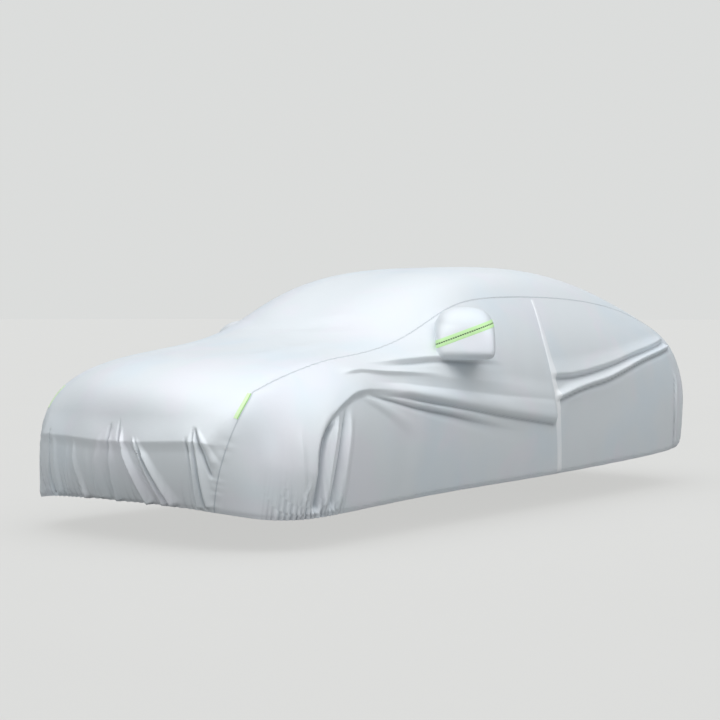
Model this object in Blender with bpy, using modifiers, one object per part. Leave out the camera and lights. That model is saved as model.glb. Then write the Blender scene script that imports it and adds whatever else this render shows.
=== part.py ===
"""Fitted car cover, draped over the form of a fastback car.

Lengths are metres. The tables give x to the car's left, y to the rear and z above the ground,
with y = 0 midway between the axles. The finished solids are moved so that the underside of the
roof is the origin.
"""

import math
from collections import namedtuple

import bmesh
import bpy
import numpy as np
from mathutils import Matrix, Vector
from mathutils.bvhtree import BVHTree
from mathutils.kdtree import KDTree

CENTRE, LEFT, RIGHT = 0, 1, 2

# Cage of the smooth form. One row for each section from the nose to the tail: the middle of the
# top, the panel seam on the left shoulder line, then the side below it down to the hem.
Station = namedtuple("Station", "name crown_y crown_z crown_power seam_x seam_y seam_z "
                                "shoulder_x shoulder_z belt_x belt_z sill_x sill_z "
                                "hem_x hem_y hem_z")
STATIONS = (
    Station("fender_tip", -2.05, 0.880, 2.4, 0.715, -1.84, 0.850,
            0.80, 0.70, 0.835, 0.53, 0.845, 0.34, 0.835, -2.08, 0.155),
    Station("fender_front", -1.78, 0.940, 2.4, 0.720, -1.60, 0.900,
            0.86, 0.77, 0.930, 0.59, 0.955, 0.37, 0.945, -1.90, 0.155),
    Station("arch_front", -1.60, 0.957, 2.4, 0.717, -1.45, 0.925,
            0.87, 0.80, 0.945, 0.61, 0.97, 0.39, 0.950, -1.70, 0.160),
    Station("wheel_arch", -1.42, 0.980, 2.4, 0.710, -1.30, 0.945,
            0.88, 0.82, 0.950, 0.63, 0.97, 0.40, 0.950, -1.50, 0.165),
    Station("fender_rear", -1.10, 1.025, 2.6, 0.700, -1.00, 0.985,
            0.87, 0.86, 0.945, 0.67, 0.97, 0.42, 0.945, -1.10, 0.179),
    Station("cowl", -0.90, 1.105, 4.0, 0.680, -0.74, 1.045,
            0.86, 0.92, 0.945, 0.71, 0.97, 0.44, 0.945, -0.73, 0.187),
    Station("pillar_foot", -0.61, 1.26, 6.0, 0.665, -0.50, 1.135,
            0.84, 0.97, 0.940, 0.74, 0.97, 0.45, 0.945, -0.42, 0.190),
    Station("pillar_top", -0.20, 1.40, 6.0, 0.650, -0.24, 1.238,
            0.82, 1.03, 0.935, 0.77, 0.97, 0.46, 0.945, -0.12, 0.192),
    Station("roof_front", 0.25, 1.442, 6.0, 0.650, 0.12, 1.268,
            0.81, 1.05, 0.935, 0.78, 0.97, 0.47, 0.945, 0.22, 0.195),
    Station("roof_rear", 0.75, 1.455, 6.0, 0.650, 0.70, 1.270,
            0.81, 1.06, 0.935, 0.79, 0.97, 0.48, 0.945, 0.72, 0.203),
    Station("glass_top", 1.25, 1.430, 5.0, 0.645, 1.22, 1.250,
            0.81, 1.05, 0.935, 0.80, 0.97, 0.49, 0.945, 1.20, 0.215),
    Station("glass_foot", 1.70, 1.335, 4.0, 0.640, 1.68, 1.200,
            0.80, 1.02, 0.930, 0.79, 0.96, 0.50, 0.940, 1.66, 0.228),
    Station("deck", 2.12, 1.175, 3.0, 0.640, 2.10, 1.095,
            0.79, 0.96, 0.900, 0.77, 0.93, 0.50, 0.910, 2.06, 0.245),
)

# Ends of the centre panel: a row for each level of the middle line and of the seam beside it.
EndLevel = namedtuple("EndLevel", "name mid_y mid_z seam_x seam_y seam_z")
FRONT_LEVELS = (
    EndLevel("top", -2.24, 0.765, 0.705, -1.99, 0.785),
    EndLevel("shoulder", -2.29, 0.62, 0.700, -2.16, 0.660),
    EndLevel("belt", -2.31, 0.46, 0.690, -2.24, 0.500),
    EndLevel("sill", -2.31, 0.32, 0.670, -2.28, 0.340),
    EndLevel("hem", -2.28, 0.211, 0.640, -2.27, 0.198),
)
REAR_LEVELS = (
    EndLevel("top", 2.42, 1.02, 0.660, 2.41, 0.975),
    EndLevel("shoulder", 2.52, 0.85, 0.740, 2.44, 0.815),
    EndLevel("belt", 2.55, 0.62, 0.780, 2.44, 0.600),
    EndLevel("sill", 2.53, 0.42, 0.785, 2.40, 0.420),
    EndLevel("hem", 2.48, 0.255, 0.755, 2.33, 0.253),
)
COLUMN_SHARES = (0.22, 0.45, 0.80, 1.0)
END_POWER = 2.6
SUBDIVISIONS = 4

# Faces of the cover that carry folds: the two coordinates a path is given in, the direction the
# face looks, and how far a normal may turn away before its folds have faded out.
Face = namedtuple("Face", "u v toward fade_from fade_to")
FACES = {
    "left": Face(1, 2, (1.0, 0.0, 0.0), 0.10, 0.45),
    "right": Face(1, 2, (-1.0, 0.0, 0.0), 0.10, 0.45),
    "front": Face(0, 2, (0.0, -1.0, 0.0), 0.20, 0.60),
    "rear": Face(0, 2, (0.0, 1.0, 0.0), 0.20, 0.60),
    "top": Face(0, 1, (0.0, 0.0, 1.0), 0.45, 0.80),
}

# One row for each fold. The height is positive for a ridge and negative for a valley. The two
# widths lie to the left and to the right of the path, and the fades are shares of its length.
Fold = namedtuple("Fold", "face name height left_width right_width fade_in fade_out path")
FOLDS = (
    Fold("left", "arch_edge", 0.034, 0.045, 0.36, 0.40, 0.20,
         ((-1.10, 0.765), (-1.40, 0.765), (-1.60, 0.71), (-1.75, 0.56), (-1.84, 0.38), (-1.90, 0.17))),
    Fold("left", "arch_valley", -0.012, 0.030, 0.030, 0.30, 0.20,
         ((-1.62, 0.68), (-1.73, 0.54), (-1.80, 0.38), (-1.86, 0.17))),
    Fold("left", "arch_ridge", 0.022, 0.028, 0.030, 0.35, 0.20,
         ((-1.60, 0.68), (-1.69, 0.54), (-1.76, 0.36), (-1.81, 0.17))),
    Fold("left", "second_ridge", 0.016, 0.060, 0.030, 0.40, 0.20,
         ((-1.56, 0.66), (-1.62, 0.50), (-1.68, 0.34), (-1.71, 0.17))),
    Fold("left", "corner_ridge", 0.010, 0.035, 0.060, 0.40, 0.20,
         ((-1.90, 0.62), (-1.95, 0.42), (-1.97, 0.17))),
    Fold("left", "long_ridge", 0.022, 0.080, 0.032, 0.30, 0.15,
         ((-1.38, 0.775), (-1.00, 0.755), (-0.60, 0.700), (-0.20, 0.640), (0.36, 0.570))),
    Fold("left", "long_valley", -0.014, 0.026, 0.040, 0.30, 0.12,
         ((-1.30, 0.745), (-0.96, 0.715), (-0.60, 0.655), (-0.20, 0.590), (0.38, 0.515))),
    Fold("left", "lower_valley", -0.008, 0.030, 0.060, 0.25, 0.45,
         ((-1.34, 0.720), (-1.02, 0.655), (-0.63, 0.600), (-0.24, 0.530), (0.19, 0.470))),
    Fold("left", "fender_ledge", 0.012, 0.030, 0.040, 0.20, 0.50,
         ((-1.45, 0.865), (-1.20, 0.880), (-0.85, 0.885), (-0.45, 0.870), (0.10, 0.820))),
    Fold("left", "under_ledge", -0.010, 0.022, 0.050, 0.20, 0.40,
         ((-1.45, 0.838), (-1.20, 0.853), (-0.85, 0.842), (-0.45, 0.800), (0.20, 0.690))),
    Fold("left", "mirror_shadow", -0.009, 0.030, 0.025, 0.30, 0.40,
         ((-1.26, 0.885), (-0.80, 0.925), (-0.45, 0.925), (0.00, 0.850))),
    Fold("left", "rear_upper_ridge", 0.012, 0.070, 0.028, 0.12, 0.15,
         ((0.40, 0.820), (0.80, 0.825), (1.20, 0.870), (1.60, 0.940), (2.15, 1.000))),
    Fold("left", "rear_upper_valley", -0.012, 0.028, 0.030, 0.12, 0.15,
         ((0.40, 0.770), (0.80, 0.780), (1.20, 0.828), (1.60, 0.900), (2.15, 0.968))),
    Fold("left", "rear_ridge", 0.022, 0.050, 0.035, 0.12, 0.10,
         ((0.40, 0.690), (0.80, 0.730), (1.20, 0.800), (1.60, 0.875), (2.20, 0.945))),
    Fold("left", "rear_valley", -0.014, 0.022, 0.050, 0.12, 0.10,
         ((0.40, 0.635), (0.80, 0.695), (1.20, 0.770), (1.60, 0.845), (2.20, 0.915))),
    Fold("left", "rear_low_ridge", 0.006, 0.030, 0.050, 0.20, 0.40,
         ((0.44, 0.570), (0.90, 0.640), (1.40, 0.745), (2.00, 0.855))),
    Fold("left", "rear_corner_ridge", 0.010, 0.040, 0.030, 0.30, 0.20,
         ((2.20, 0.80), (2.24, 0.55), (2.24, 0.24))),
    Fold("right", "arch_edge", 0.030, 0.32, 0.050, 0.40, 0.20,
         ((-1.05, 0.780), (-1.36, 0.775), (-1.55, 0.72), (-1.70, 0.56), (-1.79, 0.38), (-1.84, 0.17))),
    Fold("right", "arch_ridge", 0.018, 0.030, 0.034, 0.35, 0.20,
         ((-1.54, 0.68), (-1.62, 0.52), (-1.70, 0.34), (-1.73, 0.17))),
    Fold("right", "second_ridge", 0.010, 0.030, 0.060, 0.35, 0.20,
         ((-1.44, 0.62), (-1.50, 0.46), (-1.58, 0.30), (-1.60, 0.17))),
    Fold("right", "long_ridge", 0.018, 0.034, 0.080, 0.30, 0.30,
         ((-1.34, 0.790), (-0.95, 0.790), (-0.50, 0.740), (0.00, 0.680), (0.70, 0.600))),
    Fold("right", "long_valley", -0.012, 0.040, 0.028, 0.20, 0.30,
         ((-1.25, 0.755), (-0.90, 0.745), (-0.50, 0.690), (0.00, 0.625), (0.70, 0.545))),
    Fold("right", "fender_ledge", 0.010, 0.040, 0.032, 0.20, 0.50,
         ((-1.40, 0.860), (-1.10, 0.880), (-0.75, 0.890), (-0.20, 0.870))),
    Fold("right", "rear_ridge", 0.020, 0.036, 0.060, 0.20, 0.10,
         ((0.60, 0.680), (1.00, 0.740), (1.45, 0.830), (2.20, 0.930))),
    Fold("right", "rear_valley", -0.012, 0.050, 0.026, 0.20, 0.10,
         ((0.62, 0.630), (1.02, 0.695), (1.47, 0.785), (2.20, 0.890))),
    Fold("right", "rear_corner_ridge", 0.010, 0.030, 0.040, 0.30, 0.20,
         ((2.16, 0.78), (2.21, 0.52), (2.20, 0.24))),
    Fold("front", "bumper_edge", 0.011, 0.120, 0.045, 0.10, 0.10,
         ((-0.66, 0.520), (-0.25, 0.525), (0.20, 0.530), (0.66, 0.540))),
    Fold("front", "far_corner_ridge", 0.012, 0.030, 0.024, 0.20, 0.18,
         ((-0.475, 0.54), (-0.465, 0.38), (-0.490, 0.20))),
    Fold("front", "far_ridge", 0.006, 0.030, 0.030, 0.30, 0.18,
         ((-0.350, 0.50), (-0.320, 0.36), (-0.330, 0.20))),
    Fold("front", "far_middle_ridge", 0.012, 0.020, 0.036, 0.20, 0.18,
         ((-0.285, 0.52), (-0.245, 0.42), (-0.205, 0.20))),
    Fold("front", "middle_ridge", 0.016, 0.022, 0.060, 0.20, 0.18,
         ((-0.065, 0.59), (-0.030, 0.42), (-0.050, 0.20))),
    Fold("front", "second_middle_ridge", 0.014, 0.030, 0.020, 0.20, 0.18,
         ((-0.010, 0.60), (0.035, 0.42), (0.025, 0.20))),
    Fold("front", "fan_ridge", 0.024, 0.020, 0.026, 0.20, 0.18,
         ((0.095, 0.56), (0.145, 0.43), (0.215, 0.20))),
    Fold("front", "fan_second_ridge", 0.022, 0.026, 0.018, 0.20, 0.18,
         ((0.170, 0.53), (0.235, 0.39), (0.305, 0.20))),
    Fold("front", "fan_soft_ridge", 0.010, 0.045, 0.025, 0.25, 0.18,
         ((0.200, 0.51), (0.300, 0.37), (0.380, 0.20))),
    Fold("front", "near_ridge", 0.018, 0.020, 0.026, 0.15, 0.18,
         ((0.485, 0.585), (0.520, 0.42), (0.565, 0.20))),
    Fold("front", "near_diagonal", 0.014, 0.050, 0.022, 0.15, 0.20,
         ((0.500, 0.590), (0.590, 0.480), (0.665, 0.350))),
    Fold("rear", "bumper_edge", 0.014, 0.030, 0.120, 0.15, 0.15,
         ((-0.66, 0.60), (-0.20, 0.61), (0.25, 0.60), (0.66, 0.59))),
    Fold("rear", "plate_ridge", 0.016, 0.030, 0.040, 0.30, 0.18,
         ((-0.30, 0.62), (-0.27, 0.44), (-0.31, 0.25))),
    Fold("rear", "middle_ridge", 0.012, 0.050, 0.030, 0.30, 0.18,
         ((0.08, 0.58), (0.11, 0.42), (0.16, 0.25))),
    Fold("rear", "outer_ridge", 0.014, 0.026, 0.040, 0.30, 0.18,
         ((0.46, 0.64), (0.50, 0.44), (0.53, 0.25))),
    Fold("rear", "far_ridge", 0.012, 0.040, 0.028, 0.30, 0.18,
         ((-0.52, 0.60), (-0.55, 0.42), (-0.58, 0.25))),
    Fold("top", "cowl_hollow", -0.012, 0.120, 0.100, 0.25, 0.25,
         ((-0.56, -0.84), (0.00, -0.97), (0.56, -0.84))),
    Fold("top", "bonnet_ridge", 0.006, 0.100, 0.140, 0.40, 0.40,
         ((0.34, -1.85), (0.40, -1.40), (0.46, -1.00))),
    Fold("top", "bonnet_far_ridge", 0.006, 0.120, 0.100, 0.40, 0.40,
         ((-0.36, -1.80), (-0.41, -1.40), (-0.47, -1.05))),
)
PATH_STEPS = 6

# Cloth and seams.
CLOTH = 0.002
TRIM_CLOTH = 0.0015
GAP = 0.0003
SAME_POINT = 1e-5
FACE_SHARE = {CENTRE: 0.020, LEFT: 0.045, RIGHT: 0.036}

# Mirror pockets: an egg of cloth standing off each side, split by a tilted seam under a tape.
# The right one has sunk a little lower. The backing is the space behind the side that is cut
# away from the egg, and the room is a reach that clears the egg all round.
Pocket = namedtuple("Pocket", "side sign x y z reach_x reach_y reach_z tilt")
POCKETS = (
    Pocket("left", 1, 0.860, -0.455, 1.045, 0.190, 0.145, 0.143, math.radians(20.0)),
    Pocket("right", -1, 0.860, -0.455, 0.985, 0.175, 0.140, 0.125, math.radians(14.0)),
)
POCKET_POWER = 2.5
POCKET_RINGS = 10
POCKET_SEGMENTS = 20
POCKET_TAPE_WIDTH = 0.044
POCKET_BACKING = 0.22
POCKET_ROOM = 0.50
OPENING_INSET = 0.020

# Reflective tapes beside the seam at the front corners, given across (x) and up (z).
LAMP_TAPE = ((0.6920, 0.760), (0.6840, 0.700), (0.6790, 0.640))
LAMP_TAPE_WIDTH = 0.020
LAMP_TAPE_Y = (-2.45, -1.70)

# Flap over the zip in the left side: its centre line given along (y) and up (z), with its width.
FLAP_LINE = ((0.560, 1.235, 0.026), (0.470, 1.060, 0.040), (0.420, 0.900, 0.048),
             (0.400, 0.700, 0.052), (0.400, 0.460, 0.052), (0.430, 0.212, 0.052))
FLAP_X = (0.45, 1.20)

ROOF_ANCHOR = (0.0, 0.30)
SHARP_ANGLE = math.radians(40.0)

Finish = namedtuple("Finish", "color roughness metallic")
SILVER = Finish((0.78, 0.82, 0.85), 0.42, 0.25)
PALE = Finish((0.84, 0.86, 0.89), 0.55, 0.10)
TAPE = Finish((0.70, 0.92, 0.52), 0.35, 0.0)


def clear_scene():
    """Start from an empty scene."""
    for old in list(bpy.data.objects):
        bpy.data.objects.remove(old, do_unlink=True)


def across(mid, seam, share, power):
    """Point between the middle line and the seam, flatter in the middle than a straight line."""
    drop = abs(share) ** power
    return (seam[0] * share, mid[1] + (seam[1] - mid[1]) * drop, mid[2] + (seam[2] - mid[2]) * drop)


def top_rows():
    """Rows of the top of the cage, from the nose edge to the tail edge."""
    rows = [((0.0, FRONT_LEVELS[0].mid_y, FRONT_LEVELS[0].mid_z),
             (FRONT_LEVELS[0].seam_x, FRONT_LEVELS[0].seam_y, FRONT_LEVELS[0].seam_z), END_POWER)]
    for s in STATIONS:
        rows.append(((0.0, s.crown_y, s.crown_z), (s.seam_x, s.seam_y, s.seam_z), s.crown_power))
    rows.append(((0.0, REAR_LEVELS[0].mid_y, REAR_LEVELS[0].mid_z),
                 (REAR_LEVELS[0].seam_x, REAR_LEVELS[0].seam_y, REAR_LEVELS[0].seam_z), END_POWER))
    return rows


def shares():
    """Column positions across the centre panel, from the right seam to the left one."""
    return [-share for share in reversed(COLUMN_SHARES)] + [0.0] + list(COLUMN_SHARES)


def side_column(station, sign):
    """Points below the seam at one section, from the shoulder to the hem."""
    points = []
    pairs = ((station.shoulder_x, station.shoulder_z), (station.belt_x, station.belt_z),
             (station.sill_x, station.sill_z), (station.hem_x, station.hem_z))
    for x, z in pairs:
        down = (station.seam_z - z) / (station.seam_z - station.hem_z)
        y = station.seam_y + (station.hem_y - station.seam_y) * math.sin(down * math.pi / 2)
        points.append((sign * x, y, z))
    return points


def end_column(levels, share):
    """Points below the top edge at one column of the front or rear end."""
    points = []
    for level in levels[1:]:
        mid = (0.0, level.mid_y, level.mid_z)
        seam = (level.seam_x, level.seam_y, level.seam_z)
        points.append(across(mid, seam, share, END_POWER))
    return points


def base_sheet():
    """Smooth form of the whole cover as one open sheet, with a material index for each panel."""
    bm = bmesh.new()
    cols = shares()
    grid = [[bm.verts.new(across(mid, seam, share, power)) for share in cols]
            for mid, seam, power in top_rows()]
    for upper, lower in zip(grid, grid[1:]):
        for a, b, c, d in zip(upper, upper[1:], lower[1:], lower):
            bm.faces.new((a, b, c, d)).material_index = CENTRE
    ring = []
    for share, vert in zip(cols, grid[0]):
        ring.append((vert, end_column(FRONT_LEVELS, share), CENTRE))
    ring[-1] = ring[-1][:2] + (LEFT,)
    for station, row in zip(STATIONS, grid[1:]):
        ring.append((row[-1], side_column(station, 1), LEFT))
    for share, vert in reversed(list(zip(cols, grid[-1]))):
        ring.append((vert, end_column(REAR_LEVELS, share), CENTRE))
    ring[-1] = ring[-1][:2] + (RIGHT,)
    for station, row in reversed(list(zip(STATIONS, grid[1:]))):
        ring.append((row[0], side_column(station, -1), RIGHT))
    skirt = [[vert] + [bm.verts.new(p) for p in points] for vert, points, _ in ring]
    for i, column in enumerate(skirt):
        following = skirt[(i + 1) % len(skirt)]
        for a, b, c, d in zip(column, column[1:], following[1:], following):
            bm.faces.new((a, b, c, d)).material_index = ring[i][2]
    form = object_from_bmesh("form", bm)
    for name in ("centre", "left", "right"):
        form.data.materials.append(bpy.data.materials.new(name))
    smooth = form.modifiers.new("smooth", "SUBSURF")
    smooth.levels = SUBDIVISIONS
    smooth.render_levels = SUBDIVISIONS
    apply_modifiers(form)
    return form


def object_from_bmesh(name, bm):
    """Turn a bmesh into a linked object."""
    mesh = bpy.data.meshes.new(name)
    bm.to_mesh(mesh)
    bm.free()
    made = bpy.data.objects.new(name, mesh)
    bpy.context.scene.collection.objects.link(made)
    return made


def apply_modifiers(target):
    """Replace the mesh of an object by what its modifiers make of it."""
    bpy.context.view_layer.update()
    graph = bpy.context.evaluated_depsgraph_get()
    done = bpy.data.meshes.new_from_object(target.evaluated_get(graph))
    target.modifiers.clear()
    target.data = done


def smoothstep(low, high, value):
    """Ease from 0 at low to 1 at high."""
    share = np.clip((value - low) / (high - low), 0.0, 1.0)
    return share * share * (3.0 - 2.0 * share)


def curved_path(points):
    """Round a short row of path points into a finer polyline that passes through them."""
    row = np.array(points)
    row = np.vstack((2 * row[0] - row[1], row, 2 * row[-1] - row[-2]))
    fine = []
    for before, start, end, after in zip(row, row[1:], row[2:], row[3:]):
        for step in range(PATH_STEPS):
            t = step / PATH_STEPS
            fine.append(0.5 * (2 * start + (end - before) * t
                               + (2 * before - 5 * start + 4 * end - after) * t ** 2
                               + (3 * start - before - 3 * end + after) * t ** 3))
    fine.append(row[-2])
    return np.array(fine)


def fold_offset(uv, fold):
    """Offset that one fold gives to each point of its face."""
    path = curved_path(fold.path)
    steps = np.diff(path, axis=0)
    lengths = np.linalg.norm(steps, axis=1)
    reached = np.concatenate(([0.0], np.cumsum(lengths)))
    nearest = np.full(len(uv), np.inf)
    side = np.zeros(len(uv))
    along = np.zeros(len(uv))
    for start, step, length, before in zip(path, steps, lengths, reached):
        local = uv - start
        t = np.clip(local @ step / length ** 2, 0.0, 1.0)
        gap = local - t[:, None] * step
        distance = np.linalg.norm(gap, axis=1)
        closer = distance < nearest
        nearest[closer] = distance[closer]
        side[closer] = (step[0] * gap[:, 1] - step[1] * gap[:, 0])[closer]
        along[closer] = ((before + t * length) / reached[-1])[closer]
    width = np.where(side > 0, fold.left_width, fold.right_width)
    bump = 0.5 + 0.5 * np.cos(np.pi * np.clip(nearest / width, 0.0, 1.0))
    fade = smoothstep(0.0, fold.fade_in, along) * smoothstep(0.0, fold.fade_out, 1.0 - along)
    return fold.height * bump * fade


def read_vectors(collection, field):
    """Copy a vector field of mesh elements into an array."""
    values = np.empty(len(collection) * 3)
    collection.foreach_get(field, values)
    return values.reshape(-1, 3)


def add_folds(sheet):
    """Move the points of the sheet along their normals by all the folds of their faces."""
    points = read_vectors(sheet.data.vertices, "co")
    normals = read_vectors(sheet.data.vertices, "normal")
    offset = np.zeros(len(points))
    for fold in FOLDS:
        face = FACES[fold.face]
        facing = normals @ np.array(face.toward)
        share = smoothstep(face.fade_from, face.fade_to, facing)
        part = share > 0
        uv = points[part][:, (face.u, face.v)]
        offset[part] += share[part] * fold_offset(uv, fold)
    points += normals * offset[:, None]
    sheet.data.vertices.foreach_set("co", points.ravel())
    sheet.data.update()


def seam_chains(bm):
    """Seams of the sheet as rows of points, each from one hem to the other."""
    seams = [edge for edge in bm.edges if len({f.material_index for f in edge.link_faces}) > 1]
    beside = {}
    for edge in seams:
        for vert in edge.verts:
            beside.setdefault(vert, []).append(edge.other_vert(vert))
    chains = []
    used = set()
    for start in [vert for vert, others in beside.items() if len(others) == 1]:
        if start in used:
            continue
        chain = [start]
        used.add(start)
        while True:
            onward = [vert for vert in beside[chain[-1]] if vert not in used]
            if not onward:
                break
            chain.append(onward[0])
            used.add(onward[0])
        chains.append(chain)
    return chains


def thin_seams(sheet):
    """Merge every second point of the seams, and of the rows beside them, into the one before."""
    bm = bmesh.new()
    bm.from_mesh(sheet.data)
    merged = {}
    chains = seam_chains(bm)
    seam_points = {vert for chain in chains for vert in chain}
    for chain in chains:
        for kept, gone in zip(chain[0::2], chain[1::2]):
            merged[gone] = kept
            for face in bm.edges.get((kept, gone)).link_faces:
                corners = list(face.verts)
                i = corners.index(gone)
                beside = corners[i - 1] if corners[i - 1] != kept else corners[(i + 1) % 4]
                j = corners.index(kept)
                partner = corners[j - 1] if corners[j - 1] != gone else corners[(j + 1) % 4]
                if partner not in seam_points:
                    merged[beside] = partner
    bmesh.ops.weld_verts(bm, targetmap=merged)
    loose = [vert for vert in bm.verts if not vert.link_faces]
    bmesh.ops.delete(bm, geom=loose, context="VERTS")
    bm.to_mesh(sheet.data)
    bm.free()


def seam_frames(sheet):
    """Position, shared normal and sideways direction of every seam point of the sheet."""
    bm = bmesh.new()
    bm.from_mesh(sheet.data)
    frames = []
    for vert in bm.verts:
        panels = {face.material_index for face in vert.link_faces}
        if len(panels) < 2:
            continue
        ends = [edge.other_vert(vert).co for edge in vert.link_edges
                if len({face.material_index for face in edge.link_faces}) > 1]
        along = (ends[0] - (ends[1] if len(ends) > 1 else vert.co)).normalized()
        sideways = vert.normal.cross(along).normalized()
        if sideways.x * vert.co.x < 0:
            sideways.negate()
        frames.append((vert.co.copy(), vert.normal.copy(), sideways))
    bm.free()
    return frames


def panel_sheet(sheet, panel, name, frames):
    """One panel of the folded sheet, thinned to few faces away from its seams."""
    bm = bmesh.new()
    bm.from_mesh(sheet.data)
    others = [face for face in bm.faces if face.material_index != panel]
    bmesh.ops.delete(bm, geom=others, context="FACES")
    for face in bm.faces:
        face.material_index = 0
    made = object_from_bmesh(name, bm)
    made.data.materials.clear()
    tree = frame_tree(frames)
    group = made.vertex_groups.new(name="open")
    kept = {vert.index for vert in made.data.vertices if tree.find(vert.co)[2] < SAME_POINT}
    for edge in made.data.edges:
        if kept.intersection(edge.vertices):
            group.add(list(edge.vertices), 0.0, "REPLACE")
    touched = {index for edge in made.data.edges if kept.intersection(edge.vertices)
               for index in edge.vertices}
    group.add([v.index for v in made.data.vertices if v.index not in touched], 1.0, "REPLACE")
    thin = made.modifiers.new("thin", "DECIMATE")
    thin.ratio = FACE_SHARE[panel]
    thin.vertex_group = group.name
    thin.vertex_group_factor = 1.0
    apply_modifiers(made)
    return made


def frame_tree(frames):
    """Search tree over the seam points."""
    tree = KDTree(len(frames))
    for index, (position, _, _) in enumerate(frames):
        tree.insert(position, index)
    tree.balance()
    return tree


def layer(sheet, name, frames, outer, inner, pull=0.0):
    """Closed solid between two offsets of a sheet, with its seam edges pulled sideways.

    Two panels share the normals of their seam, which a Solidify modifier can't give them, so
    their edges lie face to face. A positive pull is towards the car's side.
    """
    mesh = sheet.data
    tree = frame_tree(frames)
    bm = bmesh.new()
    shells = ([], [])
    for vert in mesh.vertices:
        position, normal = vert.co.copy(), vert.normal.copy()
        _, index, distance = tree.find(position)
        if distance < SAME_POINT:
            normal = frames[index][1]
            position += frames[index][2] * pull
        for shell, offset in zip(shells, (outer, inner)):
            shell.append(bm.verts.new(position + normal * offset))
    for polygon in mesh.polygons:
        bm.faces.new([shells[0][i] for i in polygon.vertices])
        bm.faces.new([shells[1][i] for i in reversed(polygon.vertices)])
    uses = {}
    for polygon in mesh.polygons:
        for key in polygon.edge_keys:
            uses[key] = uses.get(key, 0) + 1
    for polygon in mesh.polygons:
        corners = list(polygon.vertices)
        for a, b in zip(corners, corners[1:] + corners[:1]):
            if uses[(min(a, b), max(a, b))] == 1:
                bm.faces.new((shells[0][b], shells[0][a], shells[1][a], shells[1][b]))
    bmesh.ops.triangulate(bm, faces=bm.faces[:])
    bmesh.ops.recalc_face_normals(bm, faces=bm.faces[:])
    return object_from_bmesh(name, bm)


def combine(target, tool, operation):
    """Cut or intersect the target by the tool."""
    cut = target.modifiers.new("cut", "BOOLEAN")
    cut.operation = operation
    cut.solver = "EXACT"
    cut.object = tool
    apply_modifiers(target)
    return target


def prism(name, outline, axis, low, high):
    """Straight prism over an outline given in the two other coordinates of its axis."""
    bm = bmesh.new()
    corners = []
    for u, v in outline:
        corner = [u, v]
        corner.insert(axis, low)
        corners.append(bm.verts.new(corner))
    base = bm.faces.new(corners)
    top = bmesh.ops.extrude_face_region(bm, geom=[base])["geom"]
    shift = [0.0, 0.0, 0.0]
    shift[axis] = high - low
    moved = [item for item in top if isinstance(item, bmesh.types.BMVert)]
    bmesh.ops.translate(bm, vec=shift, verts=moved)
    bmesh.ops.recalc_face_normals(bm, faces=bm.faces[:])
    return object_from_bmesh(name, bm)


def egg(name, pocket, grow):
    """Rounded box that a mirror pocket follows, grown by a distance on every side."""
    bm = bmesh.new()
    lying = Matrix.Rotation(math.pi / 2, 3, "Y")
    bmesh.ops.create_uvsphere(bm, u_segments=POCKET_SEGMENTS, v_segments=POCKET_RINGS, radius=1.0,
                              matrix=lying.to_4x4())
    power = 2.0 / POCKET_POWER
    size = (pocket.reach_x + grow, pocket.reach_y + grow, pocket.reach_z + grow)
    for vert in bm.verts:
        x, y, z = vert.co
        radius = math.hypot(y, z)
        flat = radius ** power
        turn = math.atan2(z, y)
        vert.co = (size[0] * rounded(x, power),
                   size[1] * rounded(math.cos(turn), power) * flat,
                   size[2] * rounded(math.sin(turn), power) * flat)
    bm.transform(pocket_place(pocket))
    bmesh.ops.recalc_face_normals(bm, faces=bm.faces[:])
    return object_from_bmesh(name, bm)


def rounded(value, power):
    """Signed power of a value."""
    return math.copysign(abs(value) ** power, value)


def pocket_place(pocket):
    """Place of a pocket: its middle, with the rear end tilted up."""
    shift = Matrix.Translation((pocket.sign * pocket.x, pocket.y, pocket.z))
    return shift @ Matrix.Rotation(pocket.tilt, 4, "X")


def tilted_box(name, pocket, low, high):
    """Box lying along the tilted seam of a pocket, between two heights over it."""
    bm = bmesh.new()
    middle = Matrix.Translation((0.0, 0.0, (low + high) / 2))
    size = Matrix.Diagonal((2 * POCKET_ROOM, 2 * POCKET_ROOM, high - low, 1.0))
    bmesh.ops.create_cube(bm, size=1.0, matrix=pocket_place(pocket) @ middle @ size)
    return object_from_bmesh(name, bm)


def make_pocket(pocket, sheet, panel, frames):
    """Two halves and the tape of one mirror pocket, with the opening behind it in the panel."""
    side = pocket.side
    backing = layer(sheet, f"backing_{side}", frames, GAP, -POCKET_BACKING)
    combine(panel, egg(f"opening_{side}", pocket, -OPENING_INSET), "DIFFERENCE")
    hollow = egg(f"pocket_hollow_{side}", pocket, -CLOTH)
    halves = []
    for half, low, high in (("upper", GAP / 2, POCKET_ROOM), ("lower", -POCKET_ROOM, -GAP / 2)):
        made = egg(f"mirror_pocket_{half}_{side}", pocket, 0.0)
        combine(made, hollow, "DIFFERENCE")
        combine(made, backing, "DIFFERENCE")
        combine(made, tilted_box(f"half_{half}_{side}", pocket, low, high), "INTERSECT")
        halves.append(made)
    tape = egg(f"mirror_tape_{side}", pocket, GAP + TRIM_CLOTH)
    combine(tape, egg(f"tape_hollow_{side}", pocket, GAP), "DIFFERENCE")
    combine(tape, backing, "DIFFERENCE")
    reach = POCKET_TAPE_WIDTH / 2
    combine(tape, tilted_box(f"tape_band_{side}", pocket, -reach, reach), "INTERSECT")
    return halves, tape


def make_lamp_tape(sign, side, sheet, frames):
    """Short tape on the centre panel beside the seam at one front corner."""
    outer = [(sign * x, z) for x, z in LAMP_TAPE]
    inner = [(sign * (x - LAMP_TAPE_WIDTH), z) for x, z in LAMP_TAPE]
    cutter = prism(f"tape_outline_{side}", outer + inner[::-1], 1, *LAMP_TAPE_Y)
    tape = layer(sheet, f"lamp_tape_{side}", frames, GAP + TRIM_CLOTH, GAP)
    return combine(tape, cutter, "INTERSECT")


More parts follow.
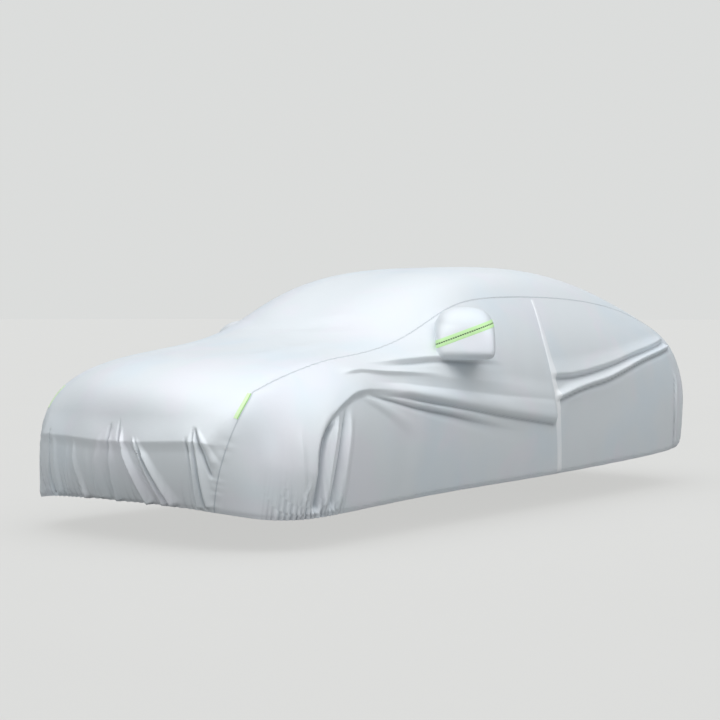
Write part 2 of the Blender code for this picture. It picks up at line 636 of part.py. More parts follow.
def make_flap(sheet, frames):
    """Upright flap over the zip in the left side."""
    near = [(y - width / 2, z) for y, z, width in FLAP_LINE]
    far = [(y + width / 2, z) for y, z, width in FLAP_LINE]
    cutter = prism("flap_outline", near + far[::-1], 0, *FLAP_X)
    flap = layer(sheet, "zip_flap_left", frames, GAP + CLOTH, GAP)
    return combine(flap, cutter, "INTERSECT")


def cloth_material(name, finish):
    """Principled material of one kind of cloth."""
    made = bpy.data.materials.new(name)
    made.use_nodes = True
    shader = made.node_tree.nodes["Principled BSDF"]
    shader.inputs["Base Color"].default_value = (*finish.color, 1.0)
    shader.inputs["Roughness"].default_value = finish.roughness
    shader.inputs["Metallic"].default_value = finish.metallic
    made.diffuse_color = (*finish.color, 1.0)
    return made


def finish_part(target, finish, collection, anchor, shift):
    """Give a part its own material, move it to the roof anchor and put it in the collection."""
    target.data.materials.clear()
    target.data.materials.append(cloth_material(f"{target.name}_finish", finish))
    target.data.transform(Matrix.Translation(shift))
    target.data.shade_smooth()
    target.data.set_sharp_from_angle(angle=SHARP_ANGLE)
    for old in list(target.users_collection):
        old.objects.unlink(target)
    collection.objects.link(target)
    target.parent = anchor


def roof_underside(panel):
    """Height of the inner face of the cloth under the middle of the roof."""
    tree = BVHTree.FromObject(panel, bpy.context.evaluated_depsgraph_get())
    hit = tree.ray_cast(Vector((*ROOF_ANCHOR, 1.0)), Vector((0.0, 0.0, 1.0)))
    return hit[0].z


def build_cover():
    """Build every part of the cover."""
    sheet = base_sheet()
    add_folds(sheet)
    thin_seams(sheet)
    frames = seam_frames(sheet)
    centre_sheet = panel_sheet(sheet, CENTRE, "centre_sheet", frames)
    left_sheet = panel_sheet(sheet, LEFT, "left_sheet", frames)
    right_sheet = panel_sheet(sheet, RIGHT, "right_sheet", frames)
    centre = layer(centre_sheet, "centre_panel", frames, 0.0, -CLOTH, -GAP / 2)
    left = layer(left_sheet, "side_panel_left", frames, 0.0, -CLOTH, GAP / 2)
    right = layer(right_sheet, "side_panel_right", frames, 0.0, -CLOTH, GAP / 2)
    cloth = [centre]
    tapes = []
    for pocket, side_sheet, panel in zip(POCKETS, (left_sheet, right_sheet), (left, right)):
        halves, tape = make_pocket(pocket, side_sheet, panel, frames)
        cloth += [panel] + halves
        tapes += [tape, make_lamp_tape(pocket.sign, pocket.side, centre_sheet, frames)]
    flap = make_flap(left_sheet, frames)
    shift = (-ROOF_ANCHOR[0], -ROOF_ANCHOR[1], -roof_underside(centre))
    cover = bpy.data.collections.new("car_cover")
    bpy.context.scene.collection.children.link(cover)
    anchor = bpy.data.objects.new("roof_anchor", None)
    cover.objects.link(anchor)
    for part in cloth:
        finish_part(part, SILVER, cover, anchor, shift)
    for part in tapes:
        finish_part(part, TAPE, cover, anchor, shift)
    finish_part(flap, PALE, cover, anchor, shift)
    shelve_guides()


def shelve_guides():
    """Keep the sheets and cutters that shaped the parts in a hidden collection."""
    guides = bpy.data.collections.new("guides")
    bpy.context.scene.collection.children.link(guides)
    guides.hide_render = True
    for other in list(bpy.context.scene.collection.objects):
        bpy.context.scene.collection.objects.unlink(other)
        guides.objects.link(other)
        other.hide_render = True
        other.display_type = "WIRE"


if __name__ == "__main__":
    clear_scene()
    build_cover()
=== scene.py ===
"""Dress of a fitted car cover: draped silver cloth with its folds, seams, pockets, tapes and hem.

The cover keeps the places and sizes of its CAD solids. Tables give x to the car's left, y to the
rear and z above the ground, in metres, with y = 0 midway between the axles. ``to_row`` moves such
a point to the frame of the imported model, whose origin is under the middle of the roof.
"""

import logging
import math
from collections.abc import Callable, Iterable, Sequence
from dataclasses import dataclass, field
from enum import Enum

import bmesh
import bpy
import numpy as np
from mathutils import Matrix, Vector
from mathutils.bvhtree import BVHTree
from mathutils.kdtree import KDTree


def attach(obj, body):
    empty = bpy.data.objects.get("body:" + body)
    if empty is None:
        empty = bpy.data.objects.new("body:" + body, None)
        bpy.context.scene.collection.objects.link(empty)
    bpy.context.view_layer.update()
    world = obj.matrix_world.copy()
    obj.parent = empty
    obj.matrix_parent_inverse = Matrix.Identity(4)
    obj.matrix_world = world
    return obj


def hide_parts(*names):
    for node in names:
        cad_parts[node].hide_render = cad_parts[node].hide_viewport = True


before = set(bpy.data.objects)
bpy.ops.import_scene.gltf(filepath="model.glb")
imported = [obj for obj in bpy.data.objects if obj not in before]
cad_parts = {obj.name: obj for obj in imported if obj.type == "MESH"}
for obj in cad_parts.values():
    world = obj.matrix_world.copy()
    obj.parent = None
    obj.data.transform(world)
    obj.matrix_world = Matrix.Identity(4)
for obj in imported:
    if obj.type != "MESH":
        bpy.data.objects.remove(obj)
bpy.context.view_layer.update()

log = logging.getLogger("car_cover")
Color = tuple[float, float, float]
Point2 = tuple[float, float]
GROUND = -1.43693
ROW_SHIFT = np.array((0.0, -0.30, GROUND))


def to_row(points: np.ndarray) -> np.ndarray:
    """Move points from the tables' coordinates to the row frame."""
    return np.asarray(points, dtype=float) + ROW_SHIFT


# --------------------------------------------------------------------------------------------
# Named options and rows of the tables
# --------------------------------------------------------------------------------------------


class Panel(Enum):
    """Cloth panels of the cover, by their index in the drape."""

    CENTRE = 0
    LEFT = 1
    RIGHT = 2


class Side(Enum):
    """Sides of the car, by the sign of x."""

    LEFT = 1
    RIGHT = -1


class Crest(Enum):
    """Cross-section of a fold.

    A soft fold swells and fades evenly, a crisp one is drawn up to a line along its top, and a
    round one is a pleat with a full top and crisp feet.
    """

    SOFT = "soft"
    CRISP = "crisp"
    ROUND = "round"


class Facing(Enum):
    """Faces of the cover that carry folds.

    Each holds the two coordinates a path is given in, the direction the face looks, and how far
    a normal may turn away before its folds have begun to fade and have faded out.
    """

    LEFT = (1, 2, (1.0, 0.0, 0.0), 0.10, 0.45)
    RIGHT = (1, 2, (-1.0, 0.0, 0.0), 0.10, 0.45)
    FRONT = (0, 2, (0.0, -1.0, 0.0), 0.20, 0.60)
    REAR = (0, 2, (0.0, 1.0, 0.0), 0.20, 0.60)
    TOP = (0, 1, (0.0, 0.0, 1.0), 0.45, 0.80)


@dataclass(frozen=True)
class Station:
    """One section of the smooth form: crown, left seam and the side below it."""

    name: str
    crown: tuple[float, float, float]
    seam: tuple[float, float, float]
    shoulder: Point2
    belt: Point2
    sill: Point2
    hem: tuple[float, float, float]


@dataclass(frozen=True)
class EndLevel:
    """One level of the nose or the tail: the middle line, and the seam beside it."""

    name: str
    middle: Point2
    seam: tuple[float, float, float]


@dataclass(frozen=True)
class Fold:
    """One fold of the cloth.

    The height is positive for a ridge and negative for a valley. The widths lie to the left and
    to the right of the path, the fades are shares of its length, and the spread scales the widths
    at its start and its end.
    """

    facing: Facing
    name: str
    height: float
    widths: Point2
    fades: Point2
    path: tuple[Point2, ...]
    crest: Crest = Crest.SOFT
    spread: Point2 = (1.0, 1.0)


@dataclass(frozen=True)
class Gather:
    """Stretch of the hem that its elastic gathers, by its middle and reach in plan."""

    name: str
    middle: Point2
    reach: float
    depth: float
    pitch: float


STATIONS = (
    Station("fender_tip", (-2.05, 0.880, 2.4), (0.715, -1.84, 0.850), (0.80, 0.70), (0.835, 0.53),
            (0.845, 0.34), (0.835, -2.08, 0.155)),
    Station("fender_front", (-1.78, 0.940, 2.4), (0.720, -1.60, 0.900), (0.86, 0.77), (0.930, 0.59),
            (0.955, 0.37), (0.945, -1.90, 0.155)),
    Station("arch_front", (-1.60, 0.957, 2.4), (0.717, -1.45, 0.925), (0.87, 0.80), (0.945, 0.61),
            (0.97, 0.39), (0.950, -1.70, 0.160)),
    Station("wheel_arch", (-1.42, 0.980, 2.4), (0.710, -1.30, 0.945), (0.88, 0.82), (0.950, 0.63),
            (0.97, 0.40), (0.950, -1.50, 0.165)),
    Station("fender_rear", (-1.10, 1.025, 2.6), (0.700, -1.00, 0.985), (0.87, 0.86), (0.945, 0.67),
            (0.97, 0.42), (0.945, -1.10, 0.179)),
    Station("cowl", (-0.90, 1.105, 4.0), (0.680, -0.74, 1.045), (0.86, 0.92), (0.945, 0.71),
            (0.97, 0.44), (0.945, -0.73, 0.187)),
    Station("pillar_foot", (-0.61, 1.26, 6.0), (0.665, -0.50, 1.135), (0.84, 0.97), (0.940, 0.74),
            (0.97, 0.45), (0.945, -0.42, 0.190)),
    Station("pillar_top", (-0.20, 1.40, 6.0), (0.650, -0.24, 1.238), (0.82, 1.03), (0.935, 0.77),
            (0.97, 0.46), (0.945, -0.12, 0.192)),
    Station("roof_front", (0.25, 1.442, 6.0), (0.650, 0.12, 1.268), (0.81, 1.05), (0.935, 0.78),
            (0.97, 0.47), (0.945, 0.22, 0.195)),
    Station("roof_rear", (0.75, 1.455, 6.0), (0.650, 0.70, 1.270), (0.81, 1.06), (0.935, 0.79),
            (0.97, 0.48), (0.945, 0.72, 0.203)),
    Station("glass_top", (1.25, 1.430, 5.0), (0.645, 1.22, 1.250), (0.81, 1.05), (0.935, 0.80),
            (0.97, 0.49), (0.945, 1.20, 0.215)),
    Station("glass_foot", (1.70, 1.335, 4.0), (0.640, 1.68, 1.200), (0.80, 1.02), (0.930, 0.79),
            (0.96, 0.50), (0.940, 1.66, 0.228)),
    Station("deck", (2.12, 1.175, 3.0), (0.640, 2.10, 1.095), (0.79, 0.96), (0.900, 0.77),
            (0.93, 0.50), (0.910, 2.06, 0.245)),
)
FRONT_LEVELS = (
    EndLevel("top", (-2.215, 0.770), (0.708, -1.985, 0.785)),
    EndLevel("shoulder", (-2.275, 0.63), (0.700, -2.155, 0.660)),
    EndLevel("belt", (-2.32, 0.475), (0.660, -2.228, 0.500)),
    EndLevel("sill", (-2.290, 0.32), (0.615, -2.256, 0.340)),
    EndLevel("hem", (-2.235, 0.207), (0.572, -2.226, 0.196)),
)
REAR_LEVELS = (
    EndLevel("top", (2.42, 1.02), (0.660, 2.41, 0.975)),
    EndLevel("shoulder", (2.52, 0.85), (0.740, 2.44, 0.815)),
    EndLevel("belt", (2.55, 0.62), (0.780, 2.44, 0.600)),
    EndLevel("sill", (2.53, 0.42), (0.785, 2.40, 0.420)),
    EndLevel("hem", (2.48, 0.255), (0.755, 2.33, 0.253)),
)
COLUMN_SHARES = (0.22, 0.45, 0.80, 1.0)
END_POWER = 2.6

L, R, F, B, T = Facing.LEFT, Facing.RIGHT, Facing.FRONT, Facing.REAR, Facing.TOP
SOFT, CRISP, ROUND = Crest.SOFT, Crest.CRISP, Crest.ROUND
FOLDS = (
    Fold(L, "arch_edge", 0.036, (0.026, 0.36), (0.38, 0.20),
         ((-1.10, 0.748), (-1.42, 0.752), (-1.60, 0.698), (-1.735, 0.610), (-1.820, 0.50), (-1.855, 0.36),
          (-1.885, 0.17)), CRISP),
    Fold(L, "arch_valley", -0.028, (0.036, 0.070), (0.20, 0.10),
         ((-1.655, 0.66), (-1.745, 0.56), (-1.790, 0.46), (-1.812, 0.36), (-1.832, 0.25), (-1.850, 0.17)),
         CRISP, (0.5, 1.1)),
    Fold(L, "arch_ridge", 0.024, (0.022, 0.036), (0.30, 0.12),
         ((-1.615, 0.68), (-1.695, 0.55), (-1.750, 0.40), (-1.785, 0.26), (-1.805, 0.17)), CRISP, (0.8, 1.1)),
    Fold(L, "arch_second_valley", -0.028, (0.050, 0.026), (0.20, 0.12),
         ((-1.570, 0.69), (-1.635, 0.56), (-1.685, 0.42), (-1.730, 0.25), (-1.750, 0.17)), CRISP, (0.6, 1.1)),
    Fold(L, "arch_second_ridge", 0.015, (0.050, 0.030), (0.35, 0.15),
         ((-1.53, 0.70), (-1.585, 0.57), (-1.640, 0.41), (-1.680, 0.24), (-1.695, 0.17)), SOFT, (0.7, 1.2)),
    Fold(L, "arch_low_pleat", 0.014, (0.014, 0.014), (0.35, 0.05),
         ((-1.885, 0.34), (-1.91, 0.26), (-1.935, 0.16)), CRISP),
    Fold(L, "arch_fan_ridge", 0.009, (0.040, 0.040), (0.20, 0.60),
         ((-1.47, 0.745), (-1.38, 0.71), (-1.27, 0.66), (-1.13, 0.59), (-0.95, 0.51)), SOFT, (0.6, 2.0)),
    Fold(L, "corner_ridge", 0.010, (0.030, 0.060), (0.40, 0.20),
         ((-1.87, 0.64), (-1.91, 0.44), (-1.93, 0.17)), CRISP),
    Fold(L, "corner_soft_ridge", 0.006, (0.050, 0.050), (0.40, 0.20),
         ((-2.02, 0.58), (-2.05, 0.38), (-2.06, 0.17))),
    Fold(L, "long_ridge", 0.033, (0.080, 0.042), (0.25, 0.03),
         ((-1.38, 0.756), (-1.10, 0.738), (-0.95, 0.715), (-0.60, 0.667), (-0.20, 0.609), (0.385, 0.536)),
         ROUND, (0.5, 1.25)),
    Fold(L, "long_valley", -0.009, (0.014, 0.026), (0.25, 0.03),
         ((-1.38, 0.740), (-1.10, 0.717), (-0.95, 0.691), (-0.60, 0.637), (-0.20, 0.572), (0.385, 0.490)),
         CRISP, (0.6, 1.2)),
    Fold(L, "long_swell", 0.013, (0.120, 0.080), (0.50, 0.08),
         ((-0.36, 0.730), (-0.05, 0.690), (0.20, 0.662), (0.395, 0.640)), SOFT),
    Fold(L, "between_ridge", 0.011, (0.022, 0.026), (0.30, 0.45),
         ((-1.24, 0.725), (-0.98, 0.673), (-0.72, 0.630), (-0.40, 0.580), (-0.05, 0.520)), ROUND, (0.6, 1.5)),
    Fold(L, "lower_valley", -0.013, (0.016, 0.050), (0.12, 0.62),
         ((-1.43, 0.752), (-1.27, 0.716), (-1.12, 0.682), (-0.98, 0.650), (-0.72, 0.604), (-0.30, 0.522),
          (0.16, 0.450)), CRISP, (0.5, 1.8)),
    Fold(L, "fender_ledge", 0.015, (0.060, 0.014), (0.14, 0.55),
         ((-1.53, 0.830), (-1.42, 0.842), (-1.34, 0.848), (-1.16, 0.841), (-0.94, 0.834), (-0.62, 0.820)),
         CRISP, (0.8, 1.6)),
    Fold(L, "ledge_shade", 0.005, (0.050, 0.050), (0.14, 0.45),
         ((-1.40, 0.844), (-1.10, 0.836), (-0.75, 0.812), (-0.30, 0.770), (0.10, 0.730)), CRISP, (0.3, 1.8)),
    Fold(L, "mirror_ledge", 0.014, (0.050, 0.018), (0.28, 0.35),
         ((-1.34, 0.886), (-1.10, 0.896), (-0.88, 0.908), (-0.68, 0.914), (-0.40, 0.902), (-0.05, 0.872)),
         CRISP, (0.6, 1.4)),
    Fold(L, "mirror_valley", -0.009, (0.014, 0.030), (0.28, 0.40),
         ((-1.26, 0.874), (-1.08, 0.880), (-0.88, 0.888), (-0.68, 0.894), (-0.40, 0.880), (-0.05, 0.850)),
         CRISP, (0.6, 1.6)),
    Fold(L, "rear_upper_ridge", 0.016, (0.080, 0.018), (0.05, 0.06),
         ((0.37, 0.792), (0.64, 0.792), (0.92, 0.818), (1.21, 0.856), (1.53, 0.906), (2.18, 0.984)),
         CRISP, (1.5, 0.6)),
    Fold(L, "rear_upper_valley", -0.012, (0.020, 0.036), (0.05, 0.06),
         ((0.37, 0.764), (0.64, 0.766), (0.92, 0.793), (1.21, 0.834), (1.53, 0.886), (2.18, 0.966)),
         CRISP, (1.5, 0.5)),
    Fold(L, "rear_ridge", 0.020, (0.040, 0.032), (0.04, 0.05),
         ((0.37, 0.654), (0.69, 0.712), (1.00, 0.752), (1.21, 0.791), (1.60, 0.862), (2.20, 0.932)),
         CRISP, (1.2, 0.6)),
    Fold(L, "rear_haunch", 0.016, (0.050, 0.240), (0.04, 0.08),
         ((0.37, 0.654), (0.69, 0.712), (1.00, 0.752), (1.21, 0.791), (1.60, 0.862), (2.20, 0.932)), CRISP),
    Fold(L, "rear_valley", -0.012, (0.014, 0.050), (0.04, 0.05),
         ((0.37, 0.628), (0.69, 0.686), (1.00, 0.728), (1.21, 0.769), (1.60, 0.844), (2.20, 0.918)),
         CRISP, (1.2, 0.6)),
    Fold(L, "rear_between_ridge", 0.006, (0.016, 0.018), (0.15, 0.20),
         ((0.50, 0.715), (0.80, 0.755), (1.20, 0.822), (1.60, 0.888)), SOFT),
    Fold(L, "rear_low_ridge", 0.005, (0.022, 0.050), (0.15, 0.50),
         ((0.43, 0.610), (0.64, 0.655), (0.87, 0.692), (1.20, 0.735)), CRISP, (0.6, 1.6)),
    Fold(L, "rear_corner_valley", -0.012, (0.020, 0.012), (0.15, 0.10),
         ((2.04, 0.76), (1.985, 0.62), (1.965, 0.50), (1.985, 0.24)), CRISP),
    Fold(L, "rear_corner_ridge", 0.014, (0.022, 0.040), (0.15, 0.10),
         ((2.07, 0.78), (2.02, 0.62), (2.00, 0.50), (2.02, 0.24)), ROUND),
    Fold(L, "rear_edge_ridge", 0.009, (0.030, 0.040), (0.20, 0.10),
         ((2.20, 0.80), (2.17, 0.52), (2.17, 0.24)), ROUND),
    Fold(R, "arch_edge", 0.030, (0.32, 0.045), (0.38, 0.20),
         ((-1.05, 0.780), (-1.36, 0.775), (-1.55, 0.72), (-1.70, 0.56), (-1.79, 0.38), (-1.84, 0.17)), CRISP),
    Fold(R, "arch_valley", -0.010, (0.018, 0.014), (0.30, 0.15),
         ((-1.58, 0.68), (-1.68, 0.53), (-1.76, 0.36), (-1.81, 0.17)), CRISP),
    Fold(R, "arch_ridge", 0.018, (0.026, 0.028), (0.35, 0.20),
         ((-1.54, 0.68), (-1.62, 0.52), (-1.70, 0.34), (-1.73, 0.17)), ROUND),
    Fold(R, "second_ridge", 0.011, (0.026, 0.040), (0.35, 0.20),
         ((-1.44, 0.62), (-1.50, 0.46), (-1.58, 0.30), (-1.60, 0.17)), ROUND),
    Fold(R, "arch_fan_ridge", 0.008, (0.040, 0.030), (0.25, 0.60),
         ((-1.42, 0.735), (-1.28, 0.67), (-1.10, 0.58), (-0.92, 0.49))),
    Fold(R, "long_ridge", 0.018, (0.030, 0.080), (0.30, 0.30),
         ((-1.34, 0.790), (-0.95, 0.780), (-0.50, 0.730), (0.00, 0.670), (0.70, 0.590)), CRISP),
    Fold(R, "long_valley", -0.012, (0.040, 0.018), (0.20, 0.30),
         ((-1.25, 0.760), (-0.90, 0.750), (-0.50, 0.698), (0.00, 0.635), (0.70, 0.555)), CRISP),
    Fold(R, "lower_valley", -0.008, (0.050, 0.022), (0.20, 0.50),
         ((-1.30, 0.720), (-0.90, 0.660), (-0.40, 0.590), (0.20, 0.520)), CRISP),
    Fold(R, "fender_ledge", 0.011, (0.018, 0.050), (0.20, 0.50),
         ((-1.40, 0.860), (-1.10, 0.880), (-0.75, 0.890), (-0.20, 0.870)), CRISP),
    Fold(R, "rear_ridge", 0.020, (0.030, 0.060), (0.20, 0.10),
         ((0.60, 0.680), (1.00, 0.740), (1.45, 0.830), (2.20, 0.930)), CRISP),
    Fold(R, "rear_valley", -0.013, (0.045, 0.018), (0.20, 0.10),
         ((0.62, 0.640), (1.02, 0.703), (1.47, 0.795), (2.20, 0.900)), CRISP),
    Fold(R, "rear_upper_ridge", 0.009, (0.022, 0.050), (0.25, 0.20),
         ((0.75, 0.800), (1.20, 0.850), (1.60, 0.930), (2.10, 1.000)), CRISP),
    Fold(R, "rear_corner_ridge", 0.011, (0.026, 0.036), (0.30, 0.20),
         ((2.16, 0.78), (2.21, 0.52), (2.20, 0.24)), ROUND),
    Fold(F, "bumper_line", 0.016, (0.130, 0.055), (0.06, 0.06),
         ((-0.64, 0.520), (-0.36, 0.523), (-0.10, 0.515), (0.20, 0.518), (0.48, 0.530), (0.65, 0.515)),
         CRISP),
    Fold(F, "far_valley", -0.026, (0.014, 0.016), (0.12, 0.06),
         ((-0.515, 0.56), (-0.520, 0.41), (-0.525, 0.28), (-0.505, 0.20)), CRISP, (0.5, 1.0)),
    Fold(F, "far_corner_ridge", 0.012, (0.030, 0.022), (0.20, 0.10),
         ((-0.470, 0.54), (-0.468, 0.38), (-0.455, 0.20)), ROUND, (0.5, 1.1)),
    Fold(F, "far_ridge", 0.008, (0.026, 0.030), (0.30, 0.18),
         ((-0.355, 0.51), (-0.355, 0.38), (-0.375, 0.20)), SOFT, (0.5, 1.2)),
    Fold(F, "far_middle_ridge", 0.022, (0.032, 0.012), (0.30, 0.06),
         ((-0.292, 0.53), (-0.290, 0.42), (-0.270, 0.30), (-0.240, 0.20)), CRISP, (0.5, 1.1)),
    Fold(F, "far_middle_swell", 0.009, (0.050, 0.050), (0.35, 0.15),
         ((-0.190, 0.50), (-0.200, 0.36), (-0.230, 0.20)), SOFT, (0.4, 1.2)),
    Fold(F, "middle_swell", 0.022, (0.070, 0.040), (0.45, 0.10),
         ((-0.075, 0.56), (-0.115, 0.42), (-0.145, 0.20)), SOFT, (0.3, 1.2)),
    Fold(F, "middle_valley", -0.016, (0.012, 0.030), (0.12, 0.06),
         ((-0.028, 0.61), (-0.024, 0.44), (-0.036, 0.20)), CRISP, (0.6, 1.2)),
    Fold(F, "middle_ridge", 0.026, (0.036, 0.014), (0.42, 0.06),
         ((-0.012, 0.57), (-0.008, 0.44), (-0.018, 0.20)), CRISP, (0.3, 1.2)),
    Fold(F, "fan_valley", -0.025, (0.012, 0.018), (0.25, 0.10),
         ((0.020, 0.64), (0.052, 0.52), (0.088, 0.44), (0.129, 0.36), (0.183, 0.24)), CRISP, (0.6, 1.2)),
    Fold(F, "fan_ridge", 0.040, (0.038, 0.016), (0.40, 0.06),
         ((0.045, 0.60), (0.074, 0.52), (0.107, 0.44), (0.148, 0.36), (0.196, 0.24), (0.212, 0.20)),
         CRISP, (0.35, 1.2)),
    Fold(F, "fan_middle_valley", -0.014, (0.012, 0.014), (0.25, 0.08),
         ((0.125, 0.52), (0.185, 0.42), (0.286, 0.20)), CRISP, (0.5, 1.1)),
    Fold(F, "fan_second_ridge", 0.032, (0.022, 0.014), (0.25, 0.06),
         ((0.138, 0.55), (0.190, 0.47), (0.246, 0.35), (0.312, 0.20)), CRISP, (0.45, 1.1)),
    Fold(F, "fan_third_valley", -0.012, (0.014, 0.012), (0.20, 0.12),
         ((0.170, 0.52), (0.225, 0.42), (0.290, 0.30), (0.345, 0.20)), CRISP, (0.5, 1.2)),
    Fold(F, "fan_soft_ridge", 0.026, (0.060, 0.016), (0.30, 0.06),
         ((0.165, 0.545), (0.222, 0.45), (0.296, 0.32), (0.368, 0.20)), CRISP, (0.3, 1.2)),
    Fold(F, "near_valley", -0.014, (0.010, 0.018), (0.15, 0.06),
         ((0.464, 0.56), (0.506, 0.39), (0.512, 0.20)), CRISP, (0.6, 1.1)),
    Fold(F, "near_ridge", 0.028, (0.030, 0.012), (0.35, 0.06),
         ((0.476, 0.58), (0.518, 0.40), (0.526, 0.20)), CRISP, (0.4, 1.1)),
    Fold(F, "near_second_valley", -0.014, (0.010, 0.010), (0.12, 0.06),
         ((0.485, 0.61), (0.535, 0.44), (0.560, 0.20)), CRISP, (0.6, 1.1)),
    Fold(F, "near_second_ridge", 0.022, (0.046, 0.012), (0.25, 0.08),
         ((0.498, 0.58), (0.547, 0.42), (0.573, 0.20)), CRISP, (0.4, 1.1)),
    Fold(F, "near_diagonal_valley", -0.014, (0.014, 0.020), (0.10, 0.15),
         ((0.496, 0.605), (0.560, 0.490), (0.618, 0.350)), CRISP, (0.5, 1.1)),
    Fold(F, "near_diagonal", 0.009, (0.034, 0.020), (0.30, 0.20),
         ((0.506, 0.600), (0.572, 0.512), (0.634, 0.400)), ROUND, (0.3, 0.9)),
    Fold(B, "bumper_line", 0.015, (0.055, 0.120), (0.15, 0.15),
         ((0.66, 0.59), (0.25, 0.60), (-0.20, 0.61), (-0.66, 0.60)), CRISP),
    Fold(B, "plate_ridge", 0.016, (0.024, 0.034), (0.30, 0.12),
         ((-0.30, 0.62), (-0.27, 0.44), (-0.31, 0.24)), ROUND),
    Fold(B, "plate_valley", -0.010, (0.016, 0.014), (0.25, 0.12),
         ((-0.25, 0.64), (-0.22, 0.46), (-0.25, 0.24)), CRISP),
    Fold(B, "plate_second_ridge", 0.011, (0.018, 0.020), (0.30, 0.12),
         ((-0.19, 0.60), (-0.17, 0.44), (-0.19, 0.24)), ROUND),
    Fold(B, "middle_ridge", 0.012, (0.040, 0.026), (0.30, 0.12),
         ((0.08, 0.58), (0.11, 0.42), (0.16, 0.24)), ROUND),
    Fold(B, "middle_valley", -0.008, (0.014, 0.018), (0.25, 0.12),
         ((0.03, 0.60), (0.07, 0.44), (0.12, 0.24)), CRISP),
    Fold(B, "outer_ridge", 0.014, (0.022, 0.030), (0.30, 0.12),
         ((0.46, 0.64), (0.50, 0.44), (0.53, 0.24)), ROUND),
    Fold(B, "outer_valley", -0.009, (0.014, 0.016), (0.25, 0.12),
         ((0.41, 0.62), (0.45, 0.44), (0.48, 0.24)), CRISP),
    Fold(B, "far_ridge", 0.012, (0.030, 0.022), (0.30, 0.12),
         ((-0.52, 0.60), (-0.55, 0.42), (-0.58, 0.24)), ROUND),
    Fold(T, "cowl_hollow", -0.012, (0.120, 0.100), (0.25, 0.25),
         ((-0.56, -0.84), (0.00, -0.97), (0.56, -0.84))),
    Fold(T, "bonnet_ridge", 0.006, (0.100, 0.140), (0.40, 0.40),
         ((0.34, -1.85), (0.40, -1.40), (0.46, -1.00))),
    Fold(T, "bonnet_far_ridge", 0.006, (0.120, 0.100), (0.40, 0.40),
         ((-0.36, -1.80), (-0.41, -1.40), (-0.47, -1.05))),
)
PATH_STEPS = 6
FOLD_MARGIN = 0.03
CROWN_STRETCH = 1.05

# Share of a soft swell in a crisp and in a round crest, the depth at which the shade painted along
# a valley's bottom is full, and the power by which that painted shade narrows to the bottom.
CRISP_SWELL = 0.20
ROUND_SWELL = 0.25
PAINTED_SHADE_FULL_DEPTH = 0.014
PAINTED_SHADE_POWER = 1.5

GATHERS = (
    Gather("front_hem", (0.10, -2.26), 0.62, 0.0022, 0.046),
    Gather("far_front", (-0.45, -2.26), 0.26, 0.0050, 0.034),
    Gather("near_corner", (0.93, -1.88), 0.27, 0.0100, 0.029),
    Gather("far_corner", (-0.93, -1.88), 0.27, 0.0100, 0.029),
    Gather("rear_hem", (0.00, 2.48), 0.80, 0.0040, 0.044),
    Gather("near_rear_corner", (0.86, 2.20), 0.26, 0.0060, 0.034),
    Gather("far_rear_corner", (-0.86, 2.20), 0.26, 0.0060, 0.034),
)

# Pleats of a gather: the share of its reach that is drawn up fully, the size and the slowness of
# each wander of their spacing, how long, how uneven and how crisp they are, and how dark the shade
# painted into their valleys is.
GATHER_CORE = 0.55
PLEAT_WANDERS = ((0.9, 6.3), (0.7, 2.7))
PLEAT_LENGTH = 0.05
PLEAT_UNEVEN = 3.9
PLEAT_FALL = 1.3
PLEAT_PAINTED_SHADE = 1.5

# Slack of the skirts: where it fades as the cloth lies flatter, and as it nears the belt.
SLACK_FLAT = (0.35, 0.75)
SLACK_HIGH = (0.35, 0.80)
SLACK_ABOVE = 0.35


# --------------------------------------------------------------------------------------------
# Mesh helpers
# --------------------------------------------------------------------------------------------


def link_mesh(name: str, mesh: bpy.types.Mesh) -> bpy.types.Object:
    """Link a new object for a mesh to the scene."""
    made = bpy.data.objects.new(name, mesh)
    bpy.context.scene.collection.objects.link(made)
    return made


def mesh_object(name: str, points: np.ndarray, faces: Sequence[Sequence[int]],
                uv: np.ndarray | None = None) -> bpy.types.Object:
    """Make a smooth-shaded mesh object.

    Args:
        name: Name of the object.
        points: Corner positions, one row for each.
        faces: Corner indices of each face, facing out.
        uv: Position of each corner on the flat cloth, in metres.

    Returns:
        The linked object, at the origin.
    """
    mesh = bpy.data.meshes.new(name)
    mesh.from_pydata(np.asarray(points).tolist(), [], [list(face) for face in faces])
    if uv is not None:
        layer = mesh.uv_layers.new(name="cloth")
        loops = np.empty(len(mesh.loops), dtype=np.int32)
        mesh.loops.foreach_get("vertex_index", loops)
        layer.data.foreach_set("uv", np.asarray(uv, dtype=np.float32)[loops].ravel())
    mesh.shade_smooth()
    mesh.update()
    return link_mesh(name, mesh)


def evaluated_mesh(target: bpy.types.Object) -> bpy.types.Mesh:
    """Copy what an object's modifiers make of its mesh."""
    bpy.context.view_layer.update()
    graph = bpy.context.evaluated_depsgraph_get()
    return bpy.data.meshes.new_from_object(target.evaluated_get(graph))


def bake_modifiers(target: bpy.types.Object) -> bpy.types.Object:
    """Replace an object's mesh by its evaluated mesh and drop the modifiers."""
    done = evaluated_mesh(target)
    target.modifiers.clear()
    target.data = done
    return target


def vectors(items: Iterable, name: str, width: int = 3) -> np.ndarray:
    """Read a vector property of mesh elements into an array."""
    values = np.empty(len(items) * width, dtype=np.float64)
    items.foreach_get(name, values)
    return values.reshape(-1, width)


def ease(low: float, high: float, value: np.ndarray) -> np.ndarray:
    """Ease from 0 at low to 1 at high."""
    share = np.clip((value - low) / (high - low), 0.0, 1.0)
    return share * share * (3.0 - 2.0 * share)


